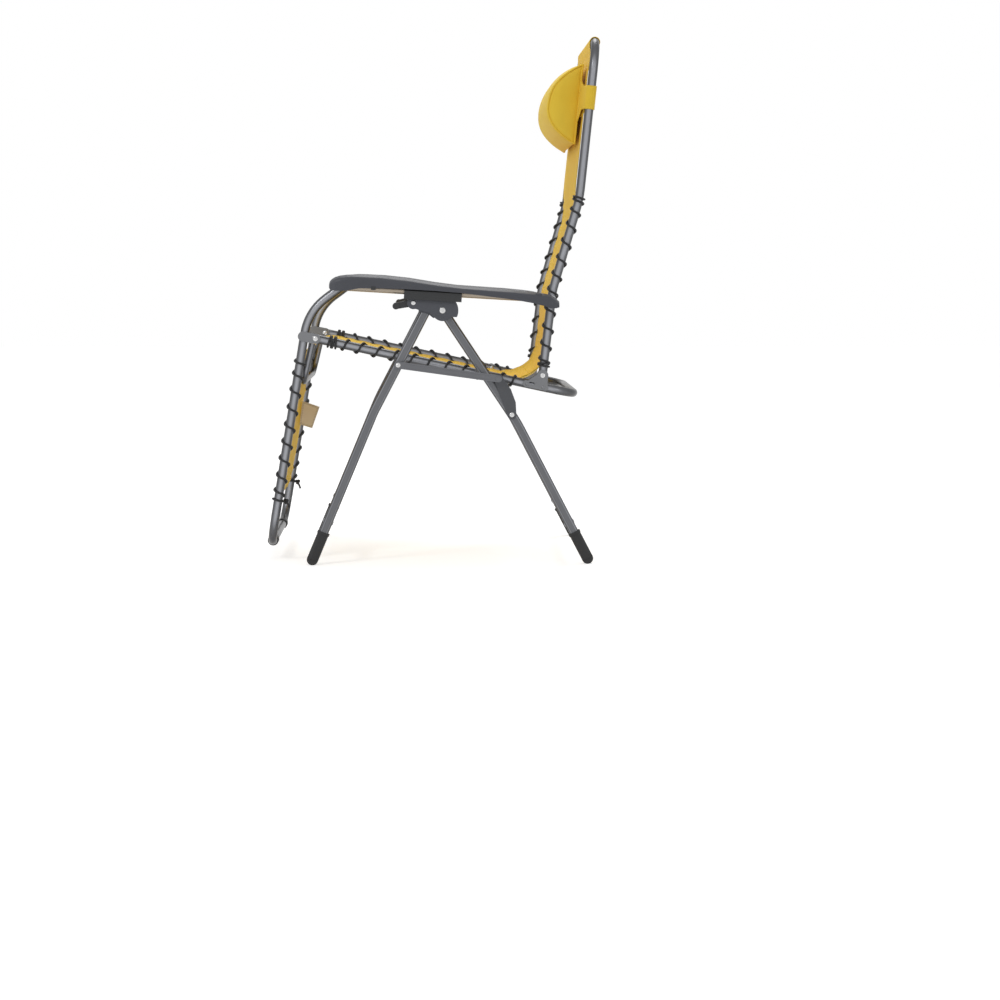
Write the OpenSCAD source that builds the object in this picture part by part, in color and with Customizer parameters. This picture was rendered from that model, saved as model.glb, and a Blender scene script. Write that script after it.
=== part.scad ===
// Zero gravity recliner: folding steel frame, laced fabric sling and sliding armrests.
// Chair faces -X, +Z is up, and the origin is on the floor under the middle of its outline.

/* [Frame tubes] */
// Distance of the seat, back and footrest side tubes from the middle plane
tube_y = 241; // [230:1:245]
// Diameter of the seat, back and footrest tubes
tube_d = 19; // [17:0.5:20]
// Visible width of the oval leg tubes
leg_w = 20; // [18:0.5:22]
// Thickness of the oval leg tubes across the chair
leg_t = 14; // [12:0.5:14]
// Bend radius of the corners where side tubes turn into crossbars
corner_r = 58; // [45:1:70]
// Diameter of the round crossbars between the legs
cross_d = 18; // [14:1:20]

/* [Armrests] */
// Diameter of the tube that carries each armrest
arm_tube_d = 16; // [14:0.5:16]
// Width of the moulded armrest
arm_w = 55; // [52:1:58]
// Wall of the armrest shell
arm_wall = 3; // [2.5:0.5:3.5]

/* [Fabric] */
// Half width of the fabric between the lacing edges
sling_half = 214; // [200:1:218]
// Thickness of the fabric panels
sling_t = 4; // [3:0.5:6]
// Diameter of the elastic lacing cord
cord_d = 4.8; // [4:0.2:5]
// Loops of lacing down each side of the back
back_loops = 11; // [8:1:11]
// Loops of lacing down each side of the seat
seat_loops = 9; // [7:1:9]
// Loops of lacing down each side of the footrest
foot_loops = 9; // [6:1:9]

/* [Headrest] */
// Width of the headrest pillow
pillow_w = 380; // [320:5:400]
// Length of the pillow along the back
pillow_h = 182; // [150:2:190]
// Thickness of the pillow in front of the back tubes
pillow_t = 80; // [60:1:90]

/* [Hidden] */
$fn = 48;

// Pivots of the linkage in side view, as [x, z]
leg_pivot = [22.5, 542.5];
link_pivot = [-71.5, 427];
seat_pivot = [141.5, 398];
brace_pivot = [170.5, 320.5];
back_pivot = [237.5, 403];
foot_pivot = [-248, 481];
arm_front = [-192, 592];
arm_rear = [256.5, 566.5];
lever_pivot = [-39, 558.5];

// Centrelines in side view, as [x, z]
front_leg_line = [[-9, 547.5], [-124, 326], [-255, 12]];
rear_leg_line = [leg_pivot, brace_pivot, [184, 299], [334, 12]];
seat_line = [[-256.8, 482.9], [250, 375.1]];
back_line = [[236.5, 394], [258, 583], [315, 780], [343.5, 1056]];
riser_line = [[-184.8, 597.3], [-264, 538.6], [-336.5, 98]];
front_cross = [-221.6, 92];
rear_cross = [294.8, 87];

// Layers across the chair, measured from the middle plane
rear_leg_y = 273;
front_leg_y = 291;
link_y = 301.5;
arm_y = 288.7;
housing_in = [257.5, 260.5];
housing_out = [299, 302];
brace_in = [262.5, 265];
brace_out = [281, 283];
clamp_ear_in = [261, 263.6];
clamp_ear_out = [281.2, 283.6];

hinge_plate_t = 3.1;
hinge_plate_y = [tube_y - tube_d / 2 - 3.4, tube_y + tube_d / 2 + 0.3];

running = 0.05;         // radial clearance of every pin in its hole
pin_r = 4;
leg_pin_r = 5;
rivet_r = 5.4;
plate_r = 12;           // round ends of links and brackets
cap_w = 24.5;           // foot caps, seen from the side
cap_t = 18.5;
cap_len = 62;
gap = 0.4;              // smallest space between pieces that move past each other
pin_y = [hinge_plate_y[0] - gap, hinge_plate_y[1] + hinge_plate_t + gap];   // ends of hinge pins
lap = 25;               // millimetres times degrees per radian that a bend enters a straight length
bend_fit = 0.985;       // size of a bend's section against the straight one

gunmetal = [0.30, 0.31, 0.33];
black = [0.05, 0.05, 0.055];
blue_grey = [0.33, 0.38, 0.44];
slate = [0.22, 0.25, 0.29];
silver = [0.75, 0.75, 0.76];
sand = [0.52, 0.44, 0.34];
yellow = [0.88, 0.62, 0.10];
cloth = [0.82, 0.76, 0.62];

function unit(v) = v / norm(v);
function turn(a, b) = atan2(a[0] * b[1] - a[1] * b[0], a * b);
function left_of(v) = [-v[1], v[0]];
function along(p, q, s) = p + s * unit(q - p);
function mix(p, q, f) = p + f * (q - p);
function heading(p, q) = atan2(q[0] - p[0], q[1] - p[1]);
function lengths(line) = [for (i = [0 : len(line) - 2]) norm(line[i + 1] - line[i])];
function total(v, i = 0) = i < len(v) ? v[i] + total(v, i + 1) : 0;

// Point at distance s along a line of straight lengths
function point_at(line, s, i = 0) =
    let (l = norm(line[i + 1] - line[i]))
    s <= l || i == len(line) - 2 ? along(line[i], line[i + 1], s) : point_at(line, s - l, i + 1);
// Direction of that line at distance s
function heading_at(line, s, i = 0) =
    let (l = norm(line[i + 1] - line[i]))
    s <= l || i == len(line) - 2 ? heading(line[i], line[i + 1]) : heading_at(line, s - l, i + 1);

// Both sides of the chair from one drawn on +Y
module both() {
    children();
    mirror([0, 1, 0]) children();
}

// Places a child that is drawn along +Z at side-view point p
module at(p, y = 0, angle = 0) {
    translate([p[0], y, p[1]]) rotate([0, angle, 0]) children();
}

// Cylinder across the chair from y0 to y1 at side-view point p
module across(p, y0, y1, r) {
    translate([p[0], y0, p[1]]) rotate([-90, 0, 0]) cylinder(r = r, h = y1 - y0);
}

// Flat plate between y0 and y1 from an outline drawn as [x, z]
module plate(y0, y1) {
    translate([0, y1, 0]) rotate([90, 0, 0]) linear_extrude(y1 - y0) children();
}

// Bar with round ends from p to q, drawn in side view
module slot_shape(p, q, r) {
    translate(p) rotate(atan2(q[1] - p[1], q[0] - p[0])) {
        circle(r);
        translate([0, -r]) square([norm(q - p), 2 * r]);
        translate([norm(q - p), 0]) circle(r);
    }
}

// Oval section of a leg, width w in side view and t across the chair
module oval(w, t) {
    square([w - t, t], center = true);
    for (s = [-1, 1]) translate([s * (w - t) / 2, 0]) circle(t / 2);
}

// Straight length of a section from p to q in side view
module straight(p, q, y) {
    at(p, y, heading(p, q)) linear_extrude(norm(q - p)) children();
}

// Arc of a section that starts at p with direction d and turns by angle a. It is a hair slimmer
// than the straight lengths and enters them a little, so that their surfaces never coincide.
module bend(p, d, r, a, y) {
    n = left_of(d) * sign(a);
    c = p + n * r;
    first = atan2(-n[1], -n[0]);
    start = a > 0 ? first : first + a;
    translate([c[0], y, c[1]]) rotate([0, lap / r - start, 0]) rotate([90, 0, 0])
        rotate_extrude(angle = abs(a) + 2 * lap / r) translate([r, 0]) scale(bend_fit) children();
}

// Tube along a side-view line, its corners rounded to radius r
module bent_tube(line, r, y) {
    last = len(line) - 1;
    cut = [for (i = [0 : last]) i == 0 || i == last ? 0
        : r * tan(abs(turn(line[i] - line[i - 1], line[i + 1] - line[i])) / 2)];
    for (i = [0 : last - 1])
        straight(along(line[i], line[i + 1], cut[i]), along(line[i + 1], line[i], cut[i + 1]), y)
            children();
    for (i = [1 : last - 1]) {
        d = unit(line[i] - line[i - 1]);
        bend(line[i] - d * cut[i], d, r, turn(d, line[i + 1] - line[i]), y) children();
    }
}

// Corner bends and crossbar that close a frame past point p, heading the given way
module closing_bar(p, angle) {
    at(p, 0, angle) {
        both() translate([0, tube_y - corner_r, 0]) rotate([90, 0, 90]) rotate([0, 0, -lap / corner_r])
            rotate_extrude(angle = 90 + 2 * lap / corner_r) translate([corner_r, 0])
                circle(d = tube_d * bend_fit);
        translate([0, corner_r - tube_y, corner_r]) rotate([-90, 0, 0])
            cylinder(d = tube_d, h = 2 * (tube_y - corner_r));
    }
}

// Domed rivet head with a small flat crown, its base at y0 and its dome towards +Y
module rivet_head(p, y0, r, h) {
    translate([p[0], y0, p[1]]) rotate([-90, 0, 0]) rotate_extrude()
        polygon(concat([[0, 0]], [for (a = [0 : 22 : 66]) [r * cos(a), h * sin(a)]], [[0, h * sin(66)]]));
}

// The same head with its dome towards the middle plane
module rivet_tail(p, y0, r, h) {
    translate([0, y0, 0]) mirror([0, 1, 0]) rivet_head(p, 0, r, h);
}

// Legs

module front_leg() {
    difference() {
        union() {
            bent_tube(front_leg_line, 260, front_leg_y) oval(leg_w, leg_t);
            across(link_pivot, front_leg_y + leg_t / 2, housing_out[0] + 0.8, plate_r - 3);
        }
        across(link_pivot, front_leg_y - leg_t, housing_out[1], pin_r);
    }
}

module rear_leg() {
    difference() {
        union() {
            bent_tube(rear_leg_line, 260, rear_leg_y) oval(leg_w, leg_t);
            across(leg_pivot, rear_leg_y - leg_t / 2 + 0.5, rear_leg_y + leg_t / 2 - 0.5, plate_r);
        }
        across(leg_pivot, rear_leg_y - leg_t, rear_leg_y + leg_t, leg_pin_r + running);
        across(brace_pivot, rear_leg_y - leg_t, rear_leg_y + leg_t, pin_r);
    }
}

// Rubber cap over the foot of a leg line, with a round toe that rests on the floor
module foot_cap(line, y) {
    n = len(line);
    toe = line[n - 1];
    difference() {
        union() {
            straight(toe, along(toe, line[n - 2], cap_len), y) oval(cap_w, cap_t);
            across(toe, y - cap_t / 2 + 2, y + cap_t / 2 - 2, cap_w / 2 - 0.1);
            straight(along(toe, line[n - 2], cap_len - 4), along(toe, line[n - 2], cap_len + 1.5), y)
                oval(cap_w + 2.4, cap_t + 2.4);
        }
        straight(toe, along(toe, line[n - 2], cap_len + 5), y) oval(leg_w, leg_t);
        // Flat where the rubber meets the floor
        translate([toe[0] - cap_w, y - cap_t, -cap_w]) cube([2 * cap_w, 2 * cap_t, cap_w]);
    }
}

module front_leg_left() { color(gunmetal) mirror([0, 1, 0]) front_leg(); }
module front_leg_right() { color(gunmetal) front_leg(); }
module rear_leg_left() { color(gunmetal) mirror([0, 1, 0]) rear_leg(); }
module rear_leg_right() { color(gunmetal) rear_leg(); }

module front_foot_caps() {
    color(black) both() foot_cap(front_leg_line, front_leg_y);
}

module rear_foot_caps() {
    color(black) both() foot_cap(rear_leg_line, rear_leg_y);
}

// Crossbar between two legs, with saddle washers against their inner faces
module cross_tube(p, y) {
    inner = y - leg_t / 2;
    color(gunmetal) {
        across(p, -inner + 2, inner - 2, cross_d / 2);
        both() across(p, inner - 2, inner, cross_d / 2 + 2.5);
    }
}

module front_cross_tube() { cross_tube(front_cross, front_leg_y); }
module rear_cross_tube() { cross_tube(rear_cross, rear_leg_y); }

// Housing that joins the front leg to the main pivot and carries the lock lever

module housing_outline() {
    difference() {
        union() {
            translate(leg_pivot) circle(22.5);
            translate(lever_pivot) circle(plate_r);
            translate(leg_pivot) intersection() {
                circle(33.5);
                translate([-5, -14]) square([40, 42]);
            }
            polygon([lever_pivot + [0, plate_r], leg_pivot + [0, 28], leg_pivot + [0, -10],
                     leg_pivot + [-14, -17], leg_pivot + [-27, -6], lever_pivot + [1, -plate_r]]);
        }
        translate(lever_pivot) circle(pin_r);
        translate(leg_pivot) circle(leg_pin_r + running);
    }
}

module lock_housing() {
    difference() {
        union() {
            plate(housing_in[0], housing_in[1]) housing_outline();
            plate(housing_out[0], housing_out[1]) housing_outline();
            // Socket block that holds the top of the front leg between the two cheeks
            plate(housing_in[1], housing_out[0]) polygon([
                leg_pivot + [-48, 15], leg_pivot + [-51, -2], leg_pivot + [-30, -8],
                leg_pivot + [-20, -16], leg_pivot + [-17, -16], leg_pivot + [-17, 18],
                leg_pivot + [-46, 18]]);
        }
        straight(front_leg_line[0], front_leg_line[1], front_leg_y) oval(leg_w, leg_t);
        across(lever_pivot, housing_in[0], housing_out[1], 13.5);
        translate([leg_pivot[0] - 60, housing_in[1], leg_pivot[1] + 18.2])
            cube([60, housing_out[0] - housing_in[1], 20]);
    }
    // Ears and pin of the lever
    difference() {
        union() {
            for (y = [housing_in, housing_out]) plate(y[0], y[1])
                translate(lever_pivot) circle(13.5);
        }
        across(lever_pivot, housing_in[0] - 1, housing_out[1] + 1, pin_r);
    }
}

module lock_housing_left() { color(blue_grey) mirror([0, 1, 0]) lock_housing(); }
module lock_housing_right() { color(blue_grey) lock_housing(); }

// Rivets fixed in the front legs: the spreader links turn on the outer pair, the levers on the others
module link_rivets() {
    color(silver) both() {
        across(link_pivot, front_leg_y - leg_t / 2, link_y + 1.8, pin_r);
        rivet_tail(link_pivot, front_leg_y - leg_t / 2, rivet_r, 2.4);
        rivet_head(link_pivot, link_y + 1.8, rivet_r, 3);
        across(lever_pivot, housing_in[0], housing_out[1], pin_r);
        rivet_head(lever_pivot, housing_out[1], rivet_r - 0.4, 2.2);
    }
}

module brace_rivets() {
    color(silver) both() {
        across(brace_pivot, brace_in[0] - 0.2, brace_out[1] + 0.2, pin_r);
        rivet_tail(brace_pivot, brace_in[0] - 0.2, rivet_r, 2.2);
        rivet_head(brace_pivot, brace_out[1] + 0.2, rivet_r, 2.2);
    }
}

// Channel bracket that carries the seat on each rear leg

module brace_bracket() {
    rear = unit(seat_pivot - brace_pivot);
    side = [rear[1], -rear[0]];
    web = [for (s = [22, 52]) brace_pivot + rear * s + side * 15];
    difference() {
        union() {
            for (y = [brace_in, brace_out]) plate(y[0], y[1]) {
                slot_shape(brace_pivot, seat_pivot, 10);
                polygon([brace_pivot + side * 10, web[0] + side * 2, web[1] + side * 2,
                         seat_pivot + side * 9]);
            }
            plate(brace_in[1], brace_out[0]) slot_shape(web[0], web[1], 2);
        }
        for (y = [brace_in, brace_out]) {
            across(brace_pivot, y[0] - 1, y[1] + 1, pin_r + running);
            across(seat_pivot, y[0] - 1, y[1] + 1, pin_r + running);
        }
    }
}

module brace_bracket_left() { color(black) mirror([0, 1, 0]) brace_bracket(); }
module brace_bracket_right() { color(black) brace_bracket(); }

// Pins of the seat, with a spacer sleeve each side of the bracket
module seat_pivot_pins() {
    tube_side = tube_y + tube_d / 2;
    color(silver) both() {
        across(seat_pivot, tube_y - tube_d / 2 - 1, 299, pin_r);
        rivet_tail(seat_pivot, tube_y - tube_d / 2 - 1, rivet_r, 2.5);
        across(seat_pivot, tube_side + gap, brace_in[0] - gap, 6);
        across(seat_pivot, brace_out[1] + gap, 299, 6);
    }
}

// Flat links that hold the legs apart

module spreader_link() {
    difference() {
        union() {
            plate(link_y - 1.5, link_y + 1.5) slot_shape(link_pivot, seat_pivot, 7.5);
            plate(link_y + 1.4, link_y + 2.6) slot_shape(
                along(link_pivot, seat_pivot, 18), along(seat_pivot, link_pivot, 18), 3);
            across(seat_pivot, link_y, link_y + 4, 6);
        }
        across(link_pivot, link_y - 3, link_y + 4, pin_r + running);
    }
}

module spreader_link_left() { color(gunmetal) mirror([0, 1, 0]) spreader_link(); }
module spreader_link_right() { color(gunmetal) spreader_link(); }

// Seat

module seat_frame() {
    color(gunmetal) {
        difference() {
            both() {
                straight(seat_line[0], seat_line[1], tube_y) circle(d = tube_d);
            }
            for (p = [foot_pivot, seat_pivot])
                across(p, -tube_y - 20, tube_y + 20, pin_r + running);
        }
        closing_bar(seat_line[1], heading(seat_line[0], seat_line[1]));
    }
}

// Plates that rise from the seat tubes to the back hinge
module seat_hinge_plates() {
    color(gunmetal) both() {
        for (y = hinge_plate_y) difference() {
            plate(y, y + hinge_plate_t) {
                translate(back_pivot) circle(plate_r);
                polygon([back_pivot + [-plate_r, 2], back_pivot + [plate_r, 2],
                         back_pivot + [9, -26], back_pivot + [-39, -15.5]]);
                slot_shape(back_pivot + [-36, -17], back_pivot + [5, -25.5], 7);
            }
            across(back_pivot, y - 1, y + 5, pin_r + running);
            plate(y - 1, y + 5) slot_shape(back_pivot + [-27, -16], back_pivot + [-20, -17.5], 2.6);
        }
        for (p = [back_pivot + [-33, -18.5], back_pivot + [1, -25.5]])
            rivet_head(p, hinge_plate_y[1] + hinge_plate_t, 4, 1.6);
    }
}

// Fabric panel between the tubes: a side-view curve given as points, with a thickness
module panel(points, half) {
    n = len(points);
    side = [for (i = [0 : n - 1])
        left_of(unit(points[min(i + 1, n - 1)] - points[max(i - 1, 0)])) * sling_t / 2];
    plate(-half, half) polygon(concat(
        [for (i = [0 : n - 1]) points[i] + side[i]],
        [for (i = [n - 1 : -1 : 0]) points[i] - side[i]]));
}

// Points of a panel that runs along a line from s0 to s1 and hangs below it by a sag
function sagging(line, s0, s1, sag, steps = 14) = [for (i = [0 : steps])
    let (f = i / steps, s = mix(s0, s1, f), h = heading_at(line, s))
    point_at(line, s) - [cos(h), -sin(h)] * -sag * sin(180 * f)];

seat_sling_from = 46;
seat_sling_to = 430;
back_sling_from = 50;
foot_sling_from = 200;
foot_sling_to = 505;

// One turn of elastic cord round a tube, with its two strands to the fabric edge
module lace(line, s, edge) {
    p = point_at(line, s);
    reach = tube_y - edge;
    at(p, tube_y, heading_at(line, s)) {
        rotate_extrude() translate([tube_d / 2 + cord_d / 2 + 0.2, 0]) circle(d = cord_d, $fn = 24);
    }
    for (side = [-1, 1]) {
        q = point_at(line, s + side * 9);
        start = [p[0], tube_y - tube_d / 2 - cord_d / 2, p[1]];
        end = [q[0], edge - 4, q[1]];
        strand(start, end);
    }
}

// Round strand between two points in space
module strand(start, end) {
    v = end - start;
    translate(start) rotate([0, acos(v[2] / norm(v)), atan2(v[1], v[0])])
        cylinder(d = cord_d - 0.4, h = norm(v), $fn = 24);
}

module lacing(line, first, last, count) {
    color(black) both() for (i = [0 : count - 1])
        lace(line, first + (last - first) * i / (count - 1), sling_half);
}

module seat_sling() {
    color(yellow) panel(concat(sagging(seat_line, seat_sling_from, seat_sling_to, 9),
        [back_pivot + [-42.5, -5.5], back_pivot + [-24.5, 1.5], back_pivot + [-11.5, 10]]), sling_half);
}

module seat_lacing() {
    lacing(seat_line, 68, 368, seat_loops);
    lacing(seat_line, 417.5, 441, 2);
}

// Back

module back_frame() {
    top = back_line[3];
    color(gunmetal) {
        difference() {
            both() bent_tube(back_line, 200, tube_y) circle(d = tube_d);
            across(back_pivot, -tube_y - 20, tube_y + 20, pin_r + running);
        }
        closing_bar(top, heading(back_line[2], top));
    }
}

module back_hinge_pins() {
    color(silver) both() {
        across(back_pivot, pin_y[0], pin_y[1], pin_r);
        rivet_tail(back_pivot, pin_y[0], rivet_r, 2.5);
        rivet_head(back_pivot, pin_y[1], rivet_r, 1.4);
    }
}

// Boss on each back tube where the rear of the armrest pivots
module back_pivot_bosses() {
    color(gunmetal) both() across(arm_rear, tube_y + tube_d / 2 - 0.6, 255.8, 8);
}

module back_sling() {
    full = total(lengths(back_line));
    bar = point_at(back_line, full + corner_r);
    half = tube_y - corner_r - 2;
    color(yellow) {
        panel(sagging(back_line, back_sling_from, full - 4, 12, 20), sling_half);
        // Narrower top with a sleeve of fabric wrapped round the top bar
        plate(-half, half) slot_shape(
            point_at(back_line, full - 9), point_at(back_line, full + corner_r - tube_d / 2 - 2),
            sling_t / 2 - 0.3);
        difference() {
            across(bar, -half, half, tube_d / 2 + 2.6);
            across(bar, -tube_y, tube_y, tube_d / 2 + 0.1);
        }
    }
}

module back_lacing() { lacing(back_line, 56, 404, back_loops); }

// Headrest

// D-shaped section of the pillow: flat against the back, round in front
module pillow_section(inset) {
    h = pillow_h - 2 * inset;
    t = pillow_t - inset;
    r = t * 0.55;
    translate([-t, -h / 2]) {
        translate([r, r]) circle(r);
        translate([r, h - r]) circle(r);
        translate([0, r]) square([r, h - 2 * r]);
        translate([r, 0]) square([t - r, h]);
    }
}

pillow_s = 597;
pillow_off = 12;

module headrest_pillow() {
    p = point_at(back_line, pillow_s);
    color(yellow) translate([p[0], 0, p[1]]) rotate([0, heading_at(back_line, pillow_s), 0])
        translate([-pillow_off, 0, 0]) rotate([90, 0, 0]) {
            linear_extrude(pillow_w - 24, center = true) pillow_section(0);
            linear_extrude(pillow_w, center = true) pillow_section(7);
        }
}

module headrest_straps() {
    p = point_at(back_line, pillow_s + 10);
    band_r = tube_d / 2 + 0.3;
    color(yellow) both() at(p, tube_y, heading_at(back_line, pillow_s)) {
        translate([0, 0, -26]) difference() {
            cylinder(r = band_r + 1.8, h = 52);
            translate([0, 0, -1]) cylinder(r = band_r, h = 54);
        }
        translate([-band_r - 1.8, pillow_w / 2 - tube_y - 1, -26])
            cube([2, tube_y - pillow_w / 2 + 1, 52]);
    }
}

// Footrest

module footrest_frame() {
    end = riser_line[2];
    color(gunmetal) {
        both() bent_tube(riser_line, 115, tube_y) circle(d = tube_d);
        closing_bar(end, heading(riser_line[1], end));
    }
}

module footrest_hinge_pins() {
    color(silver) both() {
        across(foot_pivot, pin_y[0], pin_y[1], pin_r);
        rivet_tail(foot_pivot, pin_y[0], rivet_r, 2.5);
        rivet_head(foot_pivot, pin_y[1], rivet_r, 1.4);
    }
}

// Plates that reach back from the footrest tubes to the seat hinge
module footrest_hinge_plates() {
    front = foot_pivot + [-27, 5];
    color(silver) both() for (y = hinge_plate_y)
        difference() {
            plate(y, y + hinge_plate_t) slot_shape(front, foot_pivot, 10.5);
            across(foot_pivot, y - 1, y + 5, pin_r + running);
        }
}

knee_bar = [[-256.5, 470], [-276, 388]];
knee_y = 221.2;
knee_r = 7;
knee_corner = 26;

// U-shaped bar behind the calves, hung from the inner hinge plates
module footrest_crossbars() {
    end = along(knee_bar[1], knee_bar[0], knee_corner);
    color(gunmetal) {
        both() straight(knee_bar[0], end, knee_y) circle(knee_r);
        at(end, 0, heading(knee_bar[0], knee_bar[1])) {
            both() translate([0, knee_y - knee_corner, 0]) rotate([90, 0, 90])
                rotate([0, 0, -lap / knee_corner])
                    rotate_extrude(angle = 90 + 2 * lap / knee_corner) translate([knee_corner, 0])
                        circle(knee_r * bend_fit);
            translate([0, knee_corner - knee_y, knee_corner]) rotate([-90, 0, 0])
                cylinder(r = knee_r, h = 2 * (knee_y - knee_corner));
        }
    }
}

// Black grips at the two bottom corners of the footrest
module footrest_bar_caps() {
    end = point_at(riser_line, total(lengths(riser_line)) + corner_r);
    color(black) both() difference() {
        across(end, 150, tube_y - corner_r - 2, tube_d / 2 + 2.2);
        across(end, 140, tube_y, tube_d / 2);
    }
}

module footrest_pivot_bosses() {
    color(gunmetal) both() across(arm_front, tube_y + tube_d / 2 - 0.6, 255.8, 8);
}

module footrest_sling() {
    color(yellow) panel(sagging(riser_line, foot_sling_from, foot_sling_to, -3), sling_half);
}

module footrest_lacing() { lacing(riser_line, 207, 496, foot_loops); }

// Blank cloth tab sewn into the middle seam of the footrest, behind the fabric
tab_s = [306, 359];
tab_reach = [8, 46];
tab_t = 1.2;
module label_tab() {
    color(cloth) at(point_at(riser_line, tab_s[0]), -tab_t / 2, heading_at(riser_line, tab_s[0]))
        translate([-tab_reach[1], 0, 0]) cube([tab_reach[1] - tab_reach[0], tab_t, tab_s[1] - tab_s[0]]);
}

// Arm clamps

module clamp_pivot_pins() {
    color(silver) both() {
        across(leg_pivot, housing_in[0], housing_out[1] + 0.2, leg_pin_r);
        across(leg_pivot, clamp_ear_out[1] + gap, housing_out[0] - gap, 8);
        rivet_head(leg_pivot, housing_out[1] + 0.2, 6.6, 2.6);
        rivet_tail(leg_pivot, housing_in[0] - 0.1, 6.6, 1.2);
    }
}

arm_angle = heading(arm_front, arm_rear);
arm_height = (arm_front - leg_pivot) * left_of(unit(arm_rear - arm_front));
clamp_len = 122;
clamp_from = -83;
clamp_low = 21.5;               // height of the block's underside over the pivot
skirt_low = 30;                 // under the armrest's inner skirt
cheek_top = 34;                 // over the outer cheek of the housing
bolt_y = 273;
bolt_x = [-34, 20];

// Children drawn with X along the arm tube and Z up from the main pivot
module arm_space() {
    translate([leg_pivot[0], 0, leg_pivot[1]]) rotate([0, arm_angle - 90, 0]) children();
}

module arm_clamp() {
    difference() {
        union() {
            arm_space() {
                translate([clamp_from, clamp_ear_in[0], clamp_low])
                    cube([clamp_len, 298.6 - clamp_ear_in[0], skirt_low - clamp_low]);
                translate([clamp_from, 267, clamp_low + 1]) cube([clamp_len, 31.6, cheek_top - clamp_low]);
                translate([clamp_from, 267, cheek_top]) cube([clamp_len, 43, arm_height - cheek_top]);
                translate([clamp_from, 305, clamp_low - 2]) cube([clamp_len, 5, cheek_top - clamp_low + 3]);
                translate([clamp_from, arm_y, arm_height]) rotate([0, 90, 0])
                    cylinder(r = 9.5, h = clamp_len);
            }
            for (y = [clamp_ear_in, clamp_ear_out]) plate(y[0], y[1]) {
                translate(leg_pivot) circle(12.5);
                translate(leg_pivot) rotate(90 - arm_angle)
                    polygon([[-12.5, 0], [12.5, 0], [16, clamp_low + 1], [-13, clamp_low + 1]]);
            }
        }
        across(leg_pivot, 255, 300, leg_pin_r + running);
        arm_space() {
            translate([clamp_from - 7, arm_y, arm_height]) rotate([0, 90, 0])
                cylinder(d = arm_tube_d + 2 * running, h = clamp_len + 20);
            for (x = bolt_x) translate([x, bolt_y, 0]) cylinder(r = 2.6, h = cheek_top);
        }
    }
}

module arm_clamp_left() { color(black) mirror([0, 1, 0]) arm_clamp(); }
module arm_clamp_right() { color(black) arm_clamp(); }

// Bolts that draw the clamp blocks together
module clamp_bolts() {
    color(silver) both() arm_space() for (x = bolt_x) {
        translate([x, bolt_y, clamp_low - 2.5]) cylinder(r = 4.6, h = 2.4, $fn = 6);
        translate([x, bolt_y, clamp_low - 2.5]) cylinder(r = 2.5, h = 13);
    }
}

// Arms

module arm_tube() {
    straight(along(arm_front, arm_rear, -12), along(arm_rear, arm_front, 16.5), arm_y)
        difference() {
            circle(d = arm_tube_d);
            circle(d = arm_tube_d - 3);
        }
}

module arm_tube_left() { color(sand) mirror([0, 1, 0]) arm_tube(); }
module arm_tube_right() { color(sand) arm_tube(); }

// Section of the armrest: a crowned top over two straight skirts, as [y, z]
function arm_section(low, high, half) =
    let (r = min(9, (high - low) * 0.45), crown = 3)
    concat([[-half, low]],
           [for (a = [0 : 10 : 90]) [-half + r - r * cos(a), high - crown - r + r * sin(a)]],
           [[-half / 2, high - crown * 0.25], [0, high], [half / 2, high - crown * 0.25]],
           [for (a = [90 : -10 : 0]) [half - r + r * cos(a), high - crown - r + r * sin(a)]],
           [[half, low]]);

// Solid lofted through the armrest's sections, closed at both ends
module armrest_form(stations, half) {
    rings = [for (st = stations) [for (q = arm_section(st[1], st[2], half * st[3]))
        [st[0], q[0], q[1]]]];
    n = len(rings[0]);
    last = len(rings) - 1;
    polyhedron(
        [for (ring = rings) each ring],
        concat(
            [[for (j = [n - 1 : -1 : 0]) j]],
            [for (i = [0 : last - 1], j = [0 : n - 1])
                each [[i * n + j, i * n + (j + 1) % n, (i + 1) * n + j],
                      [(i + 1) * n + j, i * n + (j + 1) % n, (i + 1) * n + (j + 1) % n]]],
            [[for (j = [0 : n - 1]) last * n + j]]));
}

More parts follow.
